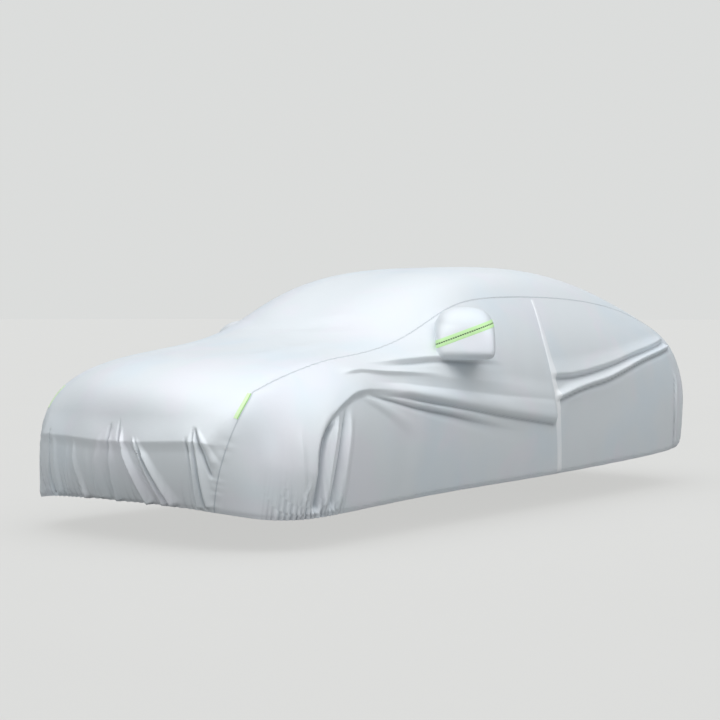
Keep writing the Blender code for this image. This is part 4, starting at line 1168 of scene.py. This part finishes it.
@dataclass(frozen=True)
class PocketForm:
    """Rounded box of a mirror pocket that stands off one side, with its front turned outwards.

    Attributes:
        side: Side of the car.
        middle: Middle of the form, with the distance from the middle of the car first.
        reach: Half of its width, depth and height.
        turned: Angle that its front is turned outwards.
        seam_rise: Angle at which the seam of its halves rises outwards.
        chamfer: Distance from the middle to the flat that slopes under the front.
        lean: How far the form leans back for each metre up.
        powers: How square the form is above and below its middle.
        blend: Share of the way up and down over which one power passes into the other.
        chamfer_faces: Direction in which the sloping flat faces.
        chamfer_power: How sharp the flat's edge is.
    """

    side: Side
    middle: tuple[float, float, float]
    reach: tuple[float, float, float]
    turned: float
    seam_rise: float
    chamfer: float
    lean: float = 0.45
    powers: Point2 = (2.7, 7.0)
    blend: float = 0.35
    chamfer_faces: tuple[float, float, float] = (0.0, -0.595, -0.804)
    chamfer_power: float = 34.0

    @property
    def panel(self) -> Panel:
        """Panel that carries the pocket."""
        return Panel.LEFT if self.side is Side.LEFT else Panel.RIGHT

    @property
    def label(self) -> str:
        """Side in the names of the nodes."""
        return self.side.name.lower()

    def placed(self, local: np.ndarray) -> np.ndarray:
        """Move points of the form's own axes to the tables' coordinates."""
        turn = np.array(Matrix.Rotation(self.turned, 3, "Z"))
        leant = local + local[:, 2:3] * np.array((0.0, self.lean, 0.0))
        return (leant @ turn.T + np.array(self.middle)) * np.array((self.side.value, 1.0, 1.0))

    def own(self, points: np.ndarray) -> np.ndarray:
        """Move points of the tables' coordinates to the form's own axes."""
        turn = np.array(Matrix.Rotation(self.turned, 3, "Z"))
        leant = (points * np.array((self.side.value, 1.0, 1.0)) - np.array(self.middle)) @ turn
        return leant - leant[:, 2:3] * np.array((0.0, self.lean, 0.0))

    def radius(self, directions: np.ndarray, grow: float = 0.0) -> np.ndarray:
        """Distance from the middle to the form along unit directions of its own axes."""
        upper, lower = self.powers
        power = lower + (upper - lower) * ease(-self.blend, self.blend, directions[:, 2])
        size = np.array(self.reach) + grow
        total = (np.abs(directions / size) ** power[:, None]).sum(axis=1)
        round_box = total ** (-1.0 / power)
        toward = directions @ np.array(self.chamfer_faces)
        flat = (self.chamfer + grow) / np.maximum(toward, 0.05)
        sharp = self.chamfer_power
        return (round_box ** -sharp + flat ** -sharp) ** (-1.0 / sharp)

    def inside(self, points: np.ndarray, grow: float) -> np.ndarray:
        """Whether each point lies inside the form, grown by a distance."""
        local = self.own(points)
        away = np.maximum(np.linalg.norm(local, axis=1), 1e-6)
        return away < self.radius(local / away[:, None], grow)

    def seam_axes(self) -> np.ndarray:
        """Directions out of the car, along it and across the seam's plane, in the form's own axes."""
        out = Vector((math.cos(self.turned), -math.sin(self.turned), 0.0))
        tilt = Matrix.Rotation(-self.seam_rise, 3, "Y")
        across = tilt @ Vector((0.0, 0.0, 1.0))
        out = (out - across * out.dot(across)).normalized()
        return np.array((out, across.cross(out), across))


@dataclass
class ClothPanel:
    """One panel of the cover with its turned hem, and an opening behind its mirror pocket."""

    node: str
    panel: Panel
    drape: Drape
    finish: SatinCloth
    opening: PocketForm | None = None
    opening_inset: float = 0.006
    hem_turn: float = 0.026
    hem_fold: float = 0.0030
    most_triangles: int = 188000

    def build(self) -> bpy.types.Object:
        """Build the panel and dress it."""
        drape = self.drape
        chosen = drape.panels == self.panel.value
        faces, uv = drape.faces[chosen], drape.uv[chosen]
        if self.opening is not None:
            inner = self.opening.inside(drape.points, -self.opening_inset)
            shown = ~np.all(inner[faces], axis=1)
            faces, uv = faces[shown], uv[shown]
        points = [drape.points]
        strips, strip_uv = self.turned_hem(faces, uv, points)
        faces = np.concatenate([faces, strips])
        uv = np.concatenate([uv, strip_uv])
        used, corners = np.unique(faces, return_inverse=True)
        corners = corners.reshape(faces.shape)
        placed = to_row(np.concatenate(points)[used])
        mesh = bpy.data.meshes.new(f"{self.node}_cloth")
        mesh.from_pydata(placed.tolist(), [], corners.tolist())
        mesh.uv_layers.new(name="cloth").data.foreach_set("uv", uv.astype(np.float32).ravel())
        # Painted shade of narrow valley bottoms, for the material; the turned hem's rows get none.
        painted_crease_shade = np.zeros(sum(len(part) for part in points))
        painted_crease_shade[:len(drape.painted_crease_shade)] = drape.painted_crease_shade
        mesh.attributes.new("crease_shade", "FLOAT", "POINT").data.foreach_set(
            "value", painted_crease_shade[used].astype(np.float32))
        mesh.shade_smooth()
        cloth = link_mesh(f"{self.node}_cloth", mesh)
        if 2 * len(corners) > self.most_triangles:
            thin = cloth.modifiers.new("thin", "DECIMATE")
            thin.ratio = self.most_triangles / (2 * len(corners))
            bake_modifiers(cloth)
            cloth.data.shade_smooth()
        cloth.data.materials.clear()
        return dress(cloth, self.finish)

    def turned_hem(self, faces: np.ndarray, uv: np.ndarray,
                   points: list[np.ndarray]) -> tuple[np.ndarray, np.ndarray]:
        """Turn the lower edge of the cloth inwards and up, as a sewn hem is.

        Args:
            faces: Faces of the panel.
            uv: Flat place of the corners of each face.
            points: Arrays of points, to which the rows of the hem are added.

        Returns:
            Faces of the turned hem and the flat place of their corners.
        """
        edges: dict[tuple[int, int], tuple[int, int]] = {}
        for i in range(4):
            for row, (a, b) in enumerate(faces[:, (i, (i + 1) % 4)].tolist()):
                if (b, a) in edges:
                    del edges[(b, a)]
                else:
                    edges[(a, b)] = (row, i)
        lowest = self.drape.hem_set
        hem = {edge: spot for edge, spot in edges.items() if edge[0] in lowest and edge[1] in lowest}
        corners = sorted({point for edge in hem for point in edge})
        base = self.drape.points[corners]
        normal = self.drape.normals[corners]
        up = up_the_cloth(normal)
        half = self.hem_fold / 2
        rows = ((-0.3 * half, -half), (-1.7 * half, -half), (-2.0 * half, 0.0),
                (-2.3 * half, self.hem_turn))
        start = sum(len(part) for part in points)
        index = {point: place for place, point in enumerate(corners)}
        for inward, rise in rows:
            points.append(base + normal * inward + up * rise)
        strips, flat = [], []
        for (a, b), (row, i) in hem.items():
            first, second = uv[row, i], uv[row, (i + 1) % 4]
            above_a, above_b, down = a, b, 0.0
            for level in range(len(rows)):
                below = start + level * len(corners)
                under_a, under_b = below + index[a], below + index[b]
                step = self.hem_turn if level == len(rows) - 1 else half
                drop = np.array((0.0, down)), np.array((0.0, down + step))
                strips.append((above_b, above_a, under_a, under_b))
                flat.append((second - drop[0], first - drop[0], first - drop[1], second - drop[1]))
                above_a, above_b, down = under_a, under_b, down + step
        return np.array(strips), np.array(flat)


@dataclass(frozen=True)
class BarTack:
    """Short rows of stitches across a seam, that hold it where it is pulled most.

    Attributes:
        height: Height of the tack above the ground.
        before: The tack lies further to the front than this.
        rows: Number of rows.
        pitch: Distance from row to row.
        reach: Half of the length of a row.
    """

    height: float = 0.505
    before: float = -1.9
    rows: int = 5
    pitch: float = 0.0022
    reach: float = 0.009


@dataclass
class SeamBand:
    """Bound seam between the centre panel and one side, from hem to hem.

    Attributes:
        side: Side of the car.
        width: Width of the binding.
        proud: Height of the binding over the cloth.
        profile: Share of the width and of the height at each point across, with a groove along
            the middle.
        tape_grid: Points along and across a tape beside the seam.
        tape_rise: Height of such a tape over the cloth, at its edges and between them.
        tape_margin: How far past its ends the seam is followed for it.
    """

    side: Side
    drape: Drape
    finish: LinedTape
    width: float = 0.009
    proud: float = 0.0008
    profile: tuple[Point2, ...] = ((-0.50, -0.6), (-0.44, 0.7), (-0.24, 1.0), (-0.08, 0.9), (0.0, 0.15),
                                   (0.08, 0.9), (0.24, 1.0), (0.44, 0.7), (0.50, -0.6))
    tape_grid: tuple[int, int] = (28, 9)
    tape_rise: Point2 = (0.0004, 0.0018)
    tape_margin: float = 0.03

    def build(self) -> bpy.types.Object:
        """Build the band along the seam and dress it."""
        chain, normal, sideways = self.frames()
        along = reached_along(chain)
        rows, flat = [], []
        for share, rise in self.profile:
            rows.append(chain + sideways * (share * self.width) + normal * (rise * self.proud))
            flat.append(np.stack((along, np.full(len(along), share + 0.5)), axis=1))
        points = np.stack(rows, axis=1).reshape(-1, 3)
        uv = np.stack(flat, axis=1).reshape(-1, 2)
        faces = grid_faces(len(chain), len(self.profile), self.side is Side.RIGHT)
        name = f"seam_band_{self.side.name.lower()}"
        return dress(mesh_object(name, to_row(points), faces, uv), self.finish)

    def frames(self) -> tuple[np.ndarray, np.ndarray, np.ndarray]:
        """Points of the seam with the cloth's normal and the direction to the car's side."""
        chain = self.drape.seam_chain(self.side)
        points = self.drape.points[chain]
        normal = self.drape.normals[chain]
        run = unit_rows(np.gradient(points, axis=0))
        sideways = np.cross(run, normal) * -self.side.value
        sideways[(sideways[:, 0] * self.side.value) < 0] *= -1.0
        return points, normal, unit_rows(sideways)

    def edge_tape(self, name: str, heights: Point2, width: float, inset: float,
                  finish: LinedTape) -> bpy.types.Object:
        """Build a tape that lies on the centre panel along a stretch of this seam.

        Args:
            name: Name of the piece.
            heights: Lowest and highest point of the stretch.
            width: Width of the tape.
            inset: Distance of the tape's edge from the seam.
            finish: Its finish, whose line lies on the seam.

        Returns:
            The tape.
        """
        chain, _, sideways = self.frames()
        low, high = heights[0] - self.tape_margin, heights[1] + self.tape_margin
        front = (chain[:, 1] < 0.0) & (chain[:, 2] > low) & (chain[:, 2] < high)
        chain, side = chain[front], sideways[front][0]
        count, columns = self.tape_grid
        wanted = np.linspace(*heights, count)
        surface = self.drape.surface(Panel.CENTRE)
        points, uv = [], []
        for height, spot in zip(wanted, sampled(chain, chain[:, 2], wanted)):
            for j in range(columns):
                share = j / (columns - 1)
                on_cloth, normal, _, _ = surface.find_nearest(Vector(spot - side * (inset + share * width)))
                rise = self.tape_rise[1] if 0 < j < columns - 1 else self.tape_rise[0]
                points.append(np.array(on_cloth + normal * rise))
                uv.append((height - heights[0], 1.0 - share))
        made = mesh_object(name, to_row(np.array(points)), grid_faces(count, columns), np.array(uv))
        turn_to(made, Facing.FRONT.value[2])
        return dress(made, finish)

    def stitch_lines(self, offsets: Sequence[float]) -> list[np.ndarray]:
        """Lines beside the seam, at shares of its width."""
        chain, normal, sideways = self.frames()
        return [to_row(chain + sideways * (share * self.width) + normal * self.proud) for share in offsets]

    def tack_lines(self, tack: BarTack) -> list[np.ndarray]:
        """Short lines across the seam for a bar tack on the nose."""
        chain, normal, sideways = self.frames()
        front = np.nonzero(chain[:, 1] < tack.before)[0]
        index = front[np.argmin(np.abs(chain[front, 2] - tack.height))]
        lines = []
        for row in range(tack.rows):
            up = np.array((0.0, 0.0, tack.pitch * (row - tack.rows // 2)))
            start = chain[index] + up + normal[index] * self.proud
            ends = [start + sideways[index] * reach for reach in (-tack.reach, tack.reach)]
            lines.append(to_row(np.array(ends)))
        return lines


# --------------------------------------------------------------------------------------------
# Pockets, tapes and flap
# --------------------------------------------------------------------------------------------


@dataclass
class MirrorPocket:
    """Pocket for a door mirror: two cloth halves, and a reflective tape over their seam.

    Attributes:
        form: Form of the pocket.
        tape_width: Width of the tape.
        tape_proud: Height of the tape over the pocket.
        tape_grid: Points along and across the tape.
        tape_edge: Share of its height that the tape has at its edges.
        tape_sink: How far the tape's ends go behind the side.
        sink: How far the pocket's edge goes behind the side.
        flare: How far the pocket's edge spreads over the side.
        segments: Points round the pocket.
        rings: Rings from its tip to its edge.
        tip: Share of the way to the edge at which the first ring lies.
        farthest: Angle from the tip within which the edge is looked for.
    """

    form: PocketForm
    drape: Drape
    cloth: SatinCloth
    tape: LinedTape
    tape_width: float = 0.042
    tape_proud: float = 0.0016
    tape_grid: tuple[int, int] = (110, 9)
    tape_edge: float = 0.2
    tape_sink: float = 0.001
    sink: float = 0.004
    flare: float = 0.005
    segments: int = 96
    rings: int = 60
    tip: float = 0.004
    farthest: float = math.pi * 0.94

    def __post_init__(self) -> None:
        """Read the cloth of the side that carries the pocket."""
        self.surface = self.drape.surface(self.form.panel)
        self.axes = self.form.seam_axes()

    def height_over_side(self, point: np.ndarray) -> float:
        """Distance of a point outside the cloth of the side, negative behind it."""
        spot, normal, _, _ = self.surface.find_nearest(Vector(point))
        return (Vector(point) - spot).dot(normal)

    def point(self, out: float, turn: float) -> np.ndarray:
        """Point of the form, in the tables' coordinates.

        Args:
            out: Angle from the outer tip, which is 0.
            turn: Angle round the axis out of the car, from the rear end over the top.
        """
        weights = np.array((math.cos(out), math.sin(out) * math.cos(turn), math.sin(out) * math.sin(turn)))
        direction = (weights @ self.axes)[None, :]
        return self.form.placed(direction * self.form.radius(direction)[:, None])[0]

    def meeting(self, spot: Callable[[float], np.ndarray], depth: float) -> float:
        """Angle at which a line of points that starts outside goes behind the side."""
        return last_where(lambda angle: self.height_over_side(spot(angle)) > -depth, self.farthest, 22)

    def flared(self, spot: np.ndarray, opposite: np.ndarray) -> np.ndarray:
        """Push a point that lies close over the side outwards, away from the opposite edge."""
        rise = self.height_over_side(spot)
        if rise >= 2.0 * self.flare:
            return spot
        _, normal, _, _ = self.surface.find_nearest(Vector(spot))
        away = Vector(spot - opposite)
        away -= normal * away.dot(normal)
        push = self.flare * (1.0 - max(rise, 0.0) / (2.0 * self.flare)) ** 2
        return spot + np.array(away.normalized()) * push

    def half(self, name: str, start: float, end: float) -> bpy.types.Object:
        """Build one half of the pocket between two angles round its axis."""
        columns = self.segments // 2 + 1
        turns = [start + (end - start) * i / (columns - 1) for i in range(columns)]
        bases = [self.meeting(lambda out, turn=turn: self.point(out, turn), self.sink) for turn in turns]
        points, flat = [], []
        for ring in range(self.rings + 1):
            share = max(ring / self.rings, self.tip)
            for turn, base in zip(turns, bases):
                spot = self.point(base * share, turn)
                if share > 0.5:
                    spot = self.flared(spot, self.point(base, turn + math.pi))
                points.append(spot)
                flat.append((share * base * self.form.reach[0] * math.cos(turn),
                             share * base * self.form.reach[2] * math.sin(turn)))
        faces = grid_faces(self.rings + 1, columns, self.form.side is Side.LEFT)
        return dress(mesh_object(name, to_row(np.array(points)), faces, np.array(flat)), self.cloth)

    def band(self) -> bpy.types.Object:
        """Build the reflective tape that follows the seam of the two halves."""
        along, across = self.tape_grid
        columns = []
        for i in range(across):
            height = self.tape_width * (i / (across - 1) - 0.5)
            edge = self.tape_edge if i in (0, across - 1) else 1.0
            columns.append(self.band_line(height, self.tape_proud * edge, along))
        points = np.stack(columns, axis=1)
        run = reached_along(points[:, across // 2])
        uv = np.stack(np.broadcast_arrays(run[:, None], np.linspace(0.0, 1.0, across)[None, :]), axis=2)
        faces = grid_faces(along, across, self.form.side is Side.LEFT)
        name = f"mirror_tape_{self.form.label}_band"
        return dress(mesh_object(name, to_row(points.reshape(-1, 3)), faces, uv.reshape(-1, 2)), self.tape)

    def band_line(self, height: float, grow: float, count: int) -> np.ndarray:
        """Line round the form at one height over its seam, between its meetings with the side."""

        def spot(turn: float) -> np.ndarray:
            """Point of the line at one angle in the seam's plane."""
            flat = math.cos(turn) * self.axes[0] + math.sin(turn) * self.axes[1]

            def covered(out: float) -> bool:
                """Whether the form still covers the point so far out."""
                local = flat * out + self.axes[2] * height
                away = np.linalg.norm(local)
                return away < self.form.radius((local / away)[None, :], grow)[0]

            out = last_where(covered, 0.5, 18)
            return self.form.placed((flat * out + self.axes[2] * height)[None, :])[0]

        first = -self.meeting(lambda turn: spot(-turn), self.tape_sink)
        last = self.meeting(spot, self.tape_sink)
        fine = np.array([spot(turn) for turn in np.linspace(first, last, 3 * count)])
        reached = reached_along(fine)
        return sampled(fine, reached, np.linspace(0.0, reached[-1], count))

    def build(self) -> list[bpy.types.Object]:
        """Build the upper half, the lower half and the tape."""
        label = self.form.label
        return [self.half(f"mirror_pocket_upper_{label}_cloth", 0.0, math.pi),
                self.half(f"mirror_pocket_lower_{label}_cloth", math.pi, math.tau),
                self.band()]


@dataclass
class SurfaceStrip:
    """Narrow strip of cloth that lies on the drape, such as a tape or the flap over the zip.

    Attributes:
        name: Name of the piece.
        line: Middle of the strip and its width at each point, in two coordinates.
        toward: Facing whose direction the strip is laid on from.
        proud: Height of the strip over the cloth.
        proud: Height of the strip over the cloth.
        crown: How much higher it is along its middle.
        edge_share: Share of its height that it has at its edges.
        above: Distance from which it is laid on.
    """

    name: str
    line: tuple[tuple[float, float, float], ...]
    toward: Facing
    drape: Drape
    finish: LinedTape | SatinCloth
    proud: float = 0.0018
    rows: int = 60
    columns: int = 9
    crown: float = 0.0
    edge_share: float = 0.12
    above: float = 4.0

    def lay(self, u: float, v: float, rise: float) -> Vector:
        """Point over the cloth at two coordinates of the facing."""
        first, second, toward, _, _ = self.toward.value
        start = [0.0, 0.0, 0.0]
        start[first], start[second] = u, v
        direction = Vector(toward)
        spot, normal, _, _ = self.surface.ray_cast(Vector(start) + direction * self.above, -direction)
        return spot + normal * rise

    def build(self) -> bpy.types.Object:
        """Build the strip and dress it."""
        self.surface = self.drape.surface()
        row = np.array(self.line)
        smooth = np.linspace(0.0, reached_along(row[:, :2])[-1], self.rows)
        fine = rounded_path(self.line)
        length = reached_along(fine[:, :2])
        middle = sampled(fine, length, smooth * length[-1] / smooth[-1])
        points, uv = [], []
        for along, (u, v, width) in zip(smooth, middle):
            for j in range(self.columns):
                share = j / (self.columns - 1) - 0.5
                edge = abs(share) * 2.0
                inner = 0 < j < self.columns - 1
                rise = self.proud * (1.0 if inner else self.edge_share) + self.crown * (1.0 - edge ** 2)
                points.append(self.lay(u + share * width, v, rise))
                uv.append((along, share + 0.5))
        faces = grid_faces(self.rows, self.columns)
        made = mesh_object(self.name, to_row(np.array(points)), faces, np.array(uv))
        turn_to(made, self.toward.value[2])
        return dress(made, self.finish)


# --------------------------------------------------------------------------------------------
# Stitches
# --------------------------------------------------------------------------------------------


@dataclass(frozen=True)
class Stitching:
    """Machine stitches that follow a line on the cloth."""

    length: float = 0.0052
    gap: float = 0.0034
    thickness: float = 0.0011
    thread: SewingThread = SewingThread()
    seed: int = 3

    def tree(self) -> bpy.types.NodeTree:
        """Build the tree that lays one stitch after another along a line."""
        group = bpy.data.node_groups.new("stitches", "GeometryNodeTree")
        for name, kind in (("Lines", "NodeSocketGeometry"), ("Stitch Length", "NodeSocketFloat"),
                           ("Gap", "NodeSocketFloat"), ("Thickness", "NodeSocketFloat"),
                           ("Thread", "NodeSocketMaterial")):
            group.interface.new_socket(name=name, in_out="INPUT", socket_type=kind)
        group.interface.new_socket(name="Stitches", in_out="OUTPUT", socket_type="NodeSocketGeometry")
        sketch = NodeSketch(group)
        given = group.nodes.new("NodeGroupInput")
        made = group.nodes.new("NodeGroupOutput")
        line = sketch.add("GeometryNodeMeshToCurve", Mesh=given.outputs["Lines"])
        pitch = sketch.math("ADD", given.outputs["Stitch Length"], given.outputs["Gap"])
        spaced = sketch.add("GeometryNodeResampleCurve", mode="LENGTH", Curve=line.outputs[0], Length=pitch)
        run = sketch.add("GeometryNodeInputTangent").outputs[0]
        turned = sketch.add("FunctionNodeAlignRotationToVector", axis="X", Vector=run).outputs[0]
        bead = sketch.add("GeometryNodeMeshIcoSphere", Radius=0.5, Subdivisions=1).outputs["Mesh"]
        uneven = sketch.add("FunctionNodeRandomValue", data_type="FLOAT", Seed=self.seed)
        uneven.inputs[2].default_value = 0.90
        uneven.inputs[3].default_value = 1.06
        length = sketch.math("MULTIPLY", given.outputs["Stitch Length"], uneven.outputs[1])
        size = sketch.add("ShaderNodeCombineXYZ", X=length, Y=given.outputs["Thickness"],
                          Z=given.outputs["Thickness"])
        rows = sketch.add("GeometryNodeInstanceOnPoints", Points=spaced.outputs[0], Instance=bead,
                          Rotation=turned, Scale=size.outputs[0])
        real = sketch.add("GeometryNodeRealizeInstances", Geometry=rows.outputs[0])
        dressed = sketch.add("GeometryNodeSetMaterial", Geometry=real.outputs[0],
                             Material=given.outputs["Thread"])
        sketch.put(made.inputs[0], dressed.outputs[0])
        return group

    def sew(self, name: str, lines: Sequence[np.ndarray]) -> bpy.types.Object:
        """Sew stitches along lines in the row frame.

        Args:
            name: Name of the piece.
            lines: Points of each line.

        Returns:
            One plain mesh object of all the stitches.
        """
        points = np.concatenate(lines)
        edges, start = [], 0
        for line in lines:
            edges += [(start + i, start + i + 1) for i in range(len(line) - 1)]
            start += len(line)
        mesh = bpy.data.meshes.new(name)
        mesh.from_pydata(points.tolist(), edges, [])
        seam = link_mesh(name, mesh)
        group = self.tree()
        sewn = seam.modifiers.new("stitches", "NODES")
        sewn.node_group = group
        ids = {item.name: item.identifier for item in group.interface.items_tree if item.in_out == "INPUT"}
        sewn[ids["Stitch Length"]] = self.length
        sewn[ids["Gap"]] = self.gap
        sewn[ids["Thickness"]] = self.thickness
        sewn[ids["Thread"]] = self.thread.material(f"{name}_thread")
        bake_modifiers(seam)
        seam.data.shade_smooth()
        return seam


# --------------------------------------------------------------------------------------------
# Studio
# --------------------------------------------------------------------------------------------


@dataclass(frozen=True)
class Studio:
    """Pale floor, soft light and the camera.

    Attributes:
        floor_reach: Half of the floor's width.
        suns: Name, direction, spread in degrees and strength of each wide light.
    """

    ground: float = GROUND
    floor_reach: float = 400.0
    camera_at: tuple[float, float, float] = (5.879, -8.125, -0.29593)
    yaw: float = math.radians(37.98)
    dip: float = math.radians(1.59)
    lens: float = 80.0
    sensor: float = 36.0
    zenith: Color = (1.36, 1.39, 1.42)
    horizon: Color = (0.15, 0.16, 0.16)
    sky_rise: Point2 = (0.35, 1.0)
    backdrop: Color = (0.712, 0.722, 0.714)
    suns: tuple[tuple[str, tuple[float, float, float], float, float], ...] = (
        ("side_light", (0.66, 0.12, 0.72), 60.0, 0.58),
        ("front_light", (-0.10, -0.50, 0.86), 50.0, 0.62),
        ("corner_light", (0.68, -0.70, 0.18), 60.0, 0.34),
    )

    def build(self) -> bpy.types.Object:
        """Build the floor, the lights and the camera."""
        floor = self.floor()
        self.world()
        for sun in self.suns:
            self.soft_sun(*sun)
        self.camera()
        bpy.context.scene.view_settings.view_transform = "Standard"
        return floor

    def floor(self) -> bpy.types.Object:
        """Build the floor."""
        corners = ((-1, -1), (1, -1), (1, 1), (-1, 1))
        points = [(x * self.floor_reach, y * self.floor_reach, self.ground) for x, y in corners]
        floor = mesh_object("studio_floor", np.array(points), [(0, 1, 2, 3)])
        floor.data.materials.append(StudioPaper().material("studio_paper"))
        return floor

    def world(self) -> None:
        """Light the scene by a soft sky that is brighter overhead, before a plain backdrop."""
        world = bpy.data.worlds.new("studio")
        bpy.context.scene.world = world
        world.use_nodes = True
        sketch = NodeSketch(world.node_tree)
        place = sketch.add("ShaderNodeTexCoord").outputs["Generated"]
        height = sketch.add("ShaderNodeSeparateXYZ", Vector=place).outputs[2]
        share = sketch.ramp(height, *self.sky_rise)
        sky = sketch.mix(share, (*self.horizon, 1.0), (*self.zenith, 1.0))
        seen = sketch.add("ShaderNodeLightPath").outputs["Is Camera Ray"]
        back = world.node_tree.nodes["Background"]
        sketch.put(back.inputs["Color"], sketch.mix(seen, sky, (*self.backdrop, 1.0)))

    @staticmethod
    def soft_sun(name: str, toward: Sequence[float], spread: float, strength: float) -> None:
        """Add one wide, even light.

        Args:
            name: Name of the light.
            toward: Direction to the light.
            spread: Angle that the light fills, in degrees, which softens its shadows.
            strength: Strength of the light.
        """
        data = bpy.data.lights.new(name, "SUN")
        data.angle = math.radians(spread)
        data.energy = strength
        lamp = bpy.data.objects.new(name, data)
        lamp.rotation_euler = Vector(toward).to_track_quat("Z", "Y").to_euler()
        bpy.context.scene.collection.objects.link(lamp)

    def camera(self) -> None:
        """Add the camera at the angle of the photograph."""
        data = bpy.data.cameras.new("camera")
        data.lens = self.lens
        data.sensor_width = self.sensor
        camera = bpy.data.objects.new("camera", data)
        camera.location = self.camera_at
        camera.rotation_euler = (math.pi / 2 - self.dip, 0.0, self.yaw)
        bpy.context.scene.collection.objects.link(camera)
        bpy.context.scene.camera = camera


# --------------------------------------------------------------------------------------------
# The cover
# --------------------------------------------------------------------------------------------


POCKETS = (
    PocketForm(Side.LEFT, (0.862, -0.455, 1.043), (0.164, 0.130, 0.146), math.radians(38.0),
               math.radians(20.0), 0.169),
    PocketForm(Side.RIGHT, (0.858, -0.455, 0.985), (0.156, 0.122, 0.124), math.radians(34.0),
               math.radians(14.0), 0.152),
)
LAMP_TAPE_HEIGHTS = (0.640, 0.760)
LAMP_TAPE_INSETS = {Side.LEFT: 0.002, Side.RIGHT: 0.020}
LAMP_TAPE_WIDTH = 0.024
FLAP_LINE = ((0.560, 1.235, 0.026), (0.470, 1.060, 0.040), (0.420, 0.900, 0.048),
             (0.400, 0.700, 0.052), (0.400, 0.460, 0.052), (0.430, 0.212, 0.052))
STITCH_OFFSETS = (-0.34, 0.34)
HEM_STITCH_RISE = 0.021
HEM_STITCH_PROUD = 0.0006

SILVER = SatinCloth()
FLAP = SatinCloth(colour=(0.96, 0.98, 1.0), roughness=0.5, metallic=0.1)
# The two reflective tapes give off painted light at a tenth of full strength.
MIRROR_TAPE = LinedTape((0.62, 0.92, 0.47), (0.005, 0.045, 0.012), line_width=0.16, dash=0.014,
                        roughness=0.75, painted_glow=0.10)
LAMP_BAND = LinedTape((0.74, 0.96, 0.56), (0.34, 0.66, 0.20), line_at=0.92, line_width=0.36, painted_glow=0.10)
BINDING = LinedTape((0.80, 0.84, 0.87), (0.45, 0.51, 0.58), line_width=0.20, roughness=0.5, metallic=0.2)
HEM_STITCHING = Stitching(thread=SewingThread((0.56, 0.59, 0.62)))
TACK_STITCHING = Stitching(length=0.0050, gap=0.0006, thickness=0.0018,
                           thread=SewingThread((0.86, 0.88, 0.90)))


@dataclass
class Cover:
    """The whole cover: its panels, seams, pockets, tapes, flap and stitches."""

    drape: Drape

    def declare(self, piece: bpy.types.Object, nodes: Sequence[str] = ()) -> bpy.types.Object:
        """Hang a piece on the cover's body, hide the CAD parts it stands for, and log its faces."""
        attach(piece, "root")
        if nodes:
            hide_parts(*nodes)
        log.info("%s: %d faces", piece.name, len(piece.data.polygons))
        return piece

    def build(self) -> None:
        """Build and declare every piece."""
        drape = self.drape
        openings = {form.panel: form for form in POCKETS}
        for node, panel in (("centre_panel", Panel.CENTRE), ("side_panel_left", Panel.LEFT),
                            ("side_panel_right", Panel.RIGHT)):
            made = ClothPanel(node, panel, drape, SILVER, openings.get(panel)).build()
            self.declare(made, [node])
        bands = [SeamBand(side, drape, BINDING) for side in Side]
        binding = [self.declare(band.build()) for band in bands]
        seam_lines = [line for band in bands for line in band.stitch_lines(STITCH_OFFSETS)]
        tack_lines = [line for band in bands for line in band.tack_lines(BarTack())]
        seams, hem, tacks = [
            self.declare(stitching.sew(name, lines))
            for name, stitching, lines in (("seam_stitches", Stitching(), seam_lines),
                                           ("hem_stitches", HEM_STITCHING, self.hem_lines()),
                                           ("bar_tacks", TACK_STITCHING, tack_lines))]
        for form, band in zip(POCKETS, bands):
            self.pocket(form)
            self.lamp_tape(band)
        self.flap()

    def hem_lines(self) -> list[np.ndarray]:
        """Line of stitches a little over the hem, round the whole cover."""
        loop = self.drape.hem_loop()
        raised = self.drape.points[loop] + up_the_cloth(self.drape.normals[loop]) * HEM_STITCH_RISE
        tree = self.drape.surface()
        line = []
        for point in raised:
            spot, normal, _, _ = tree.find_nearest(Vector(point))
            line.append(np.array(spot + normal * HEM_STITCH_PROUD))
        return [to_row(np.array(line + line[:1]))]

    def pocket(self, form: PocketForm) -> None:
        """Build and declare one mirror pocket with its tape."""
        upper, lower, tape = MirrorPocket(form, self.drape, SILVER, MIRROR_TAPE).build()
        label = form.label
        for half, name in ((upper, "upper"), (lower, "lower")):
            self.declare(half, [f"mirror_pocket_{name}_{label}"])
        self.declare(tape, [f"mirror_tape_{label}"])

    def lamp_tape(self, band: SeamBand) -> None:
        """Build and declare one short tape at a front corner."""
        label = band.side.name.lower()
        made = band.edge_tape(f"lamp_tape_{label}_band", LAMP_TAPE_HEIGHTS, LAMP_TAPE_WIDTH,
                              LAMP_TAPE_INSETS[band.side], LAMP_BAND)
        self.declare(made, [f"lamp_tape_{label}"])

    def flap(self) -> None:
        made = SurfaceStrip("zip_flap_left_cloth", FLAP_LINE, Facing.LEFT, self.drape, FLAP,
                            proud=0.0022, rows=150, columns=11, crown=0.0010).build()
        self.declare(made, ["zip_flap_left"])


def main() -> None:
    """Build the cover and its studio."""
    logging.basicConfig(level=logging.INFO, format="%(name)s %(message)s")
    drape = Drape(detail=5)
    log.info("drape: %d points", len(drape.points))
    Cover(drape).build()
    Studio().build()


if __name__ == "__main__":
    main()
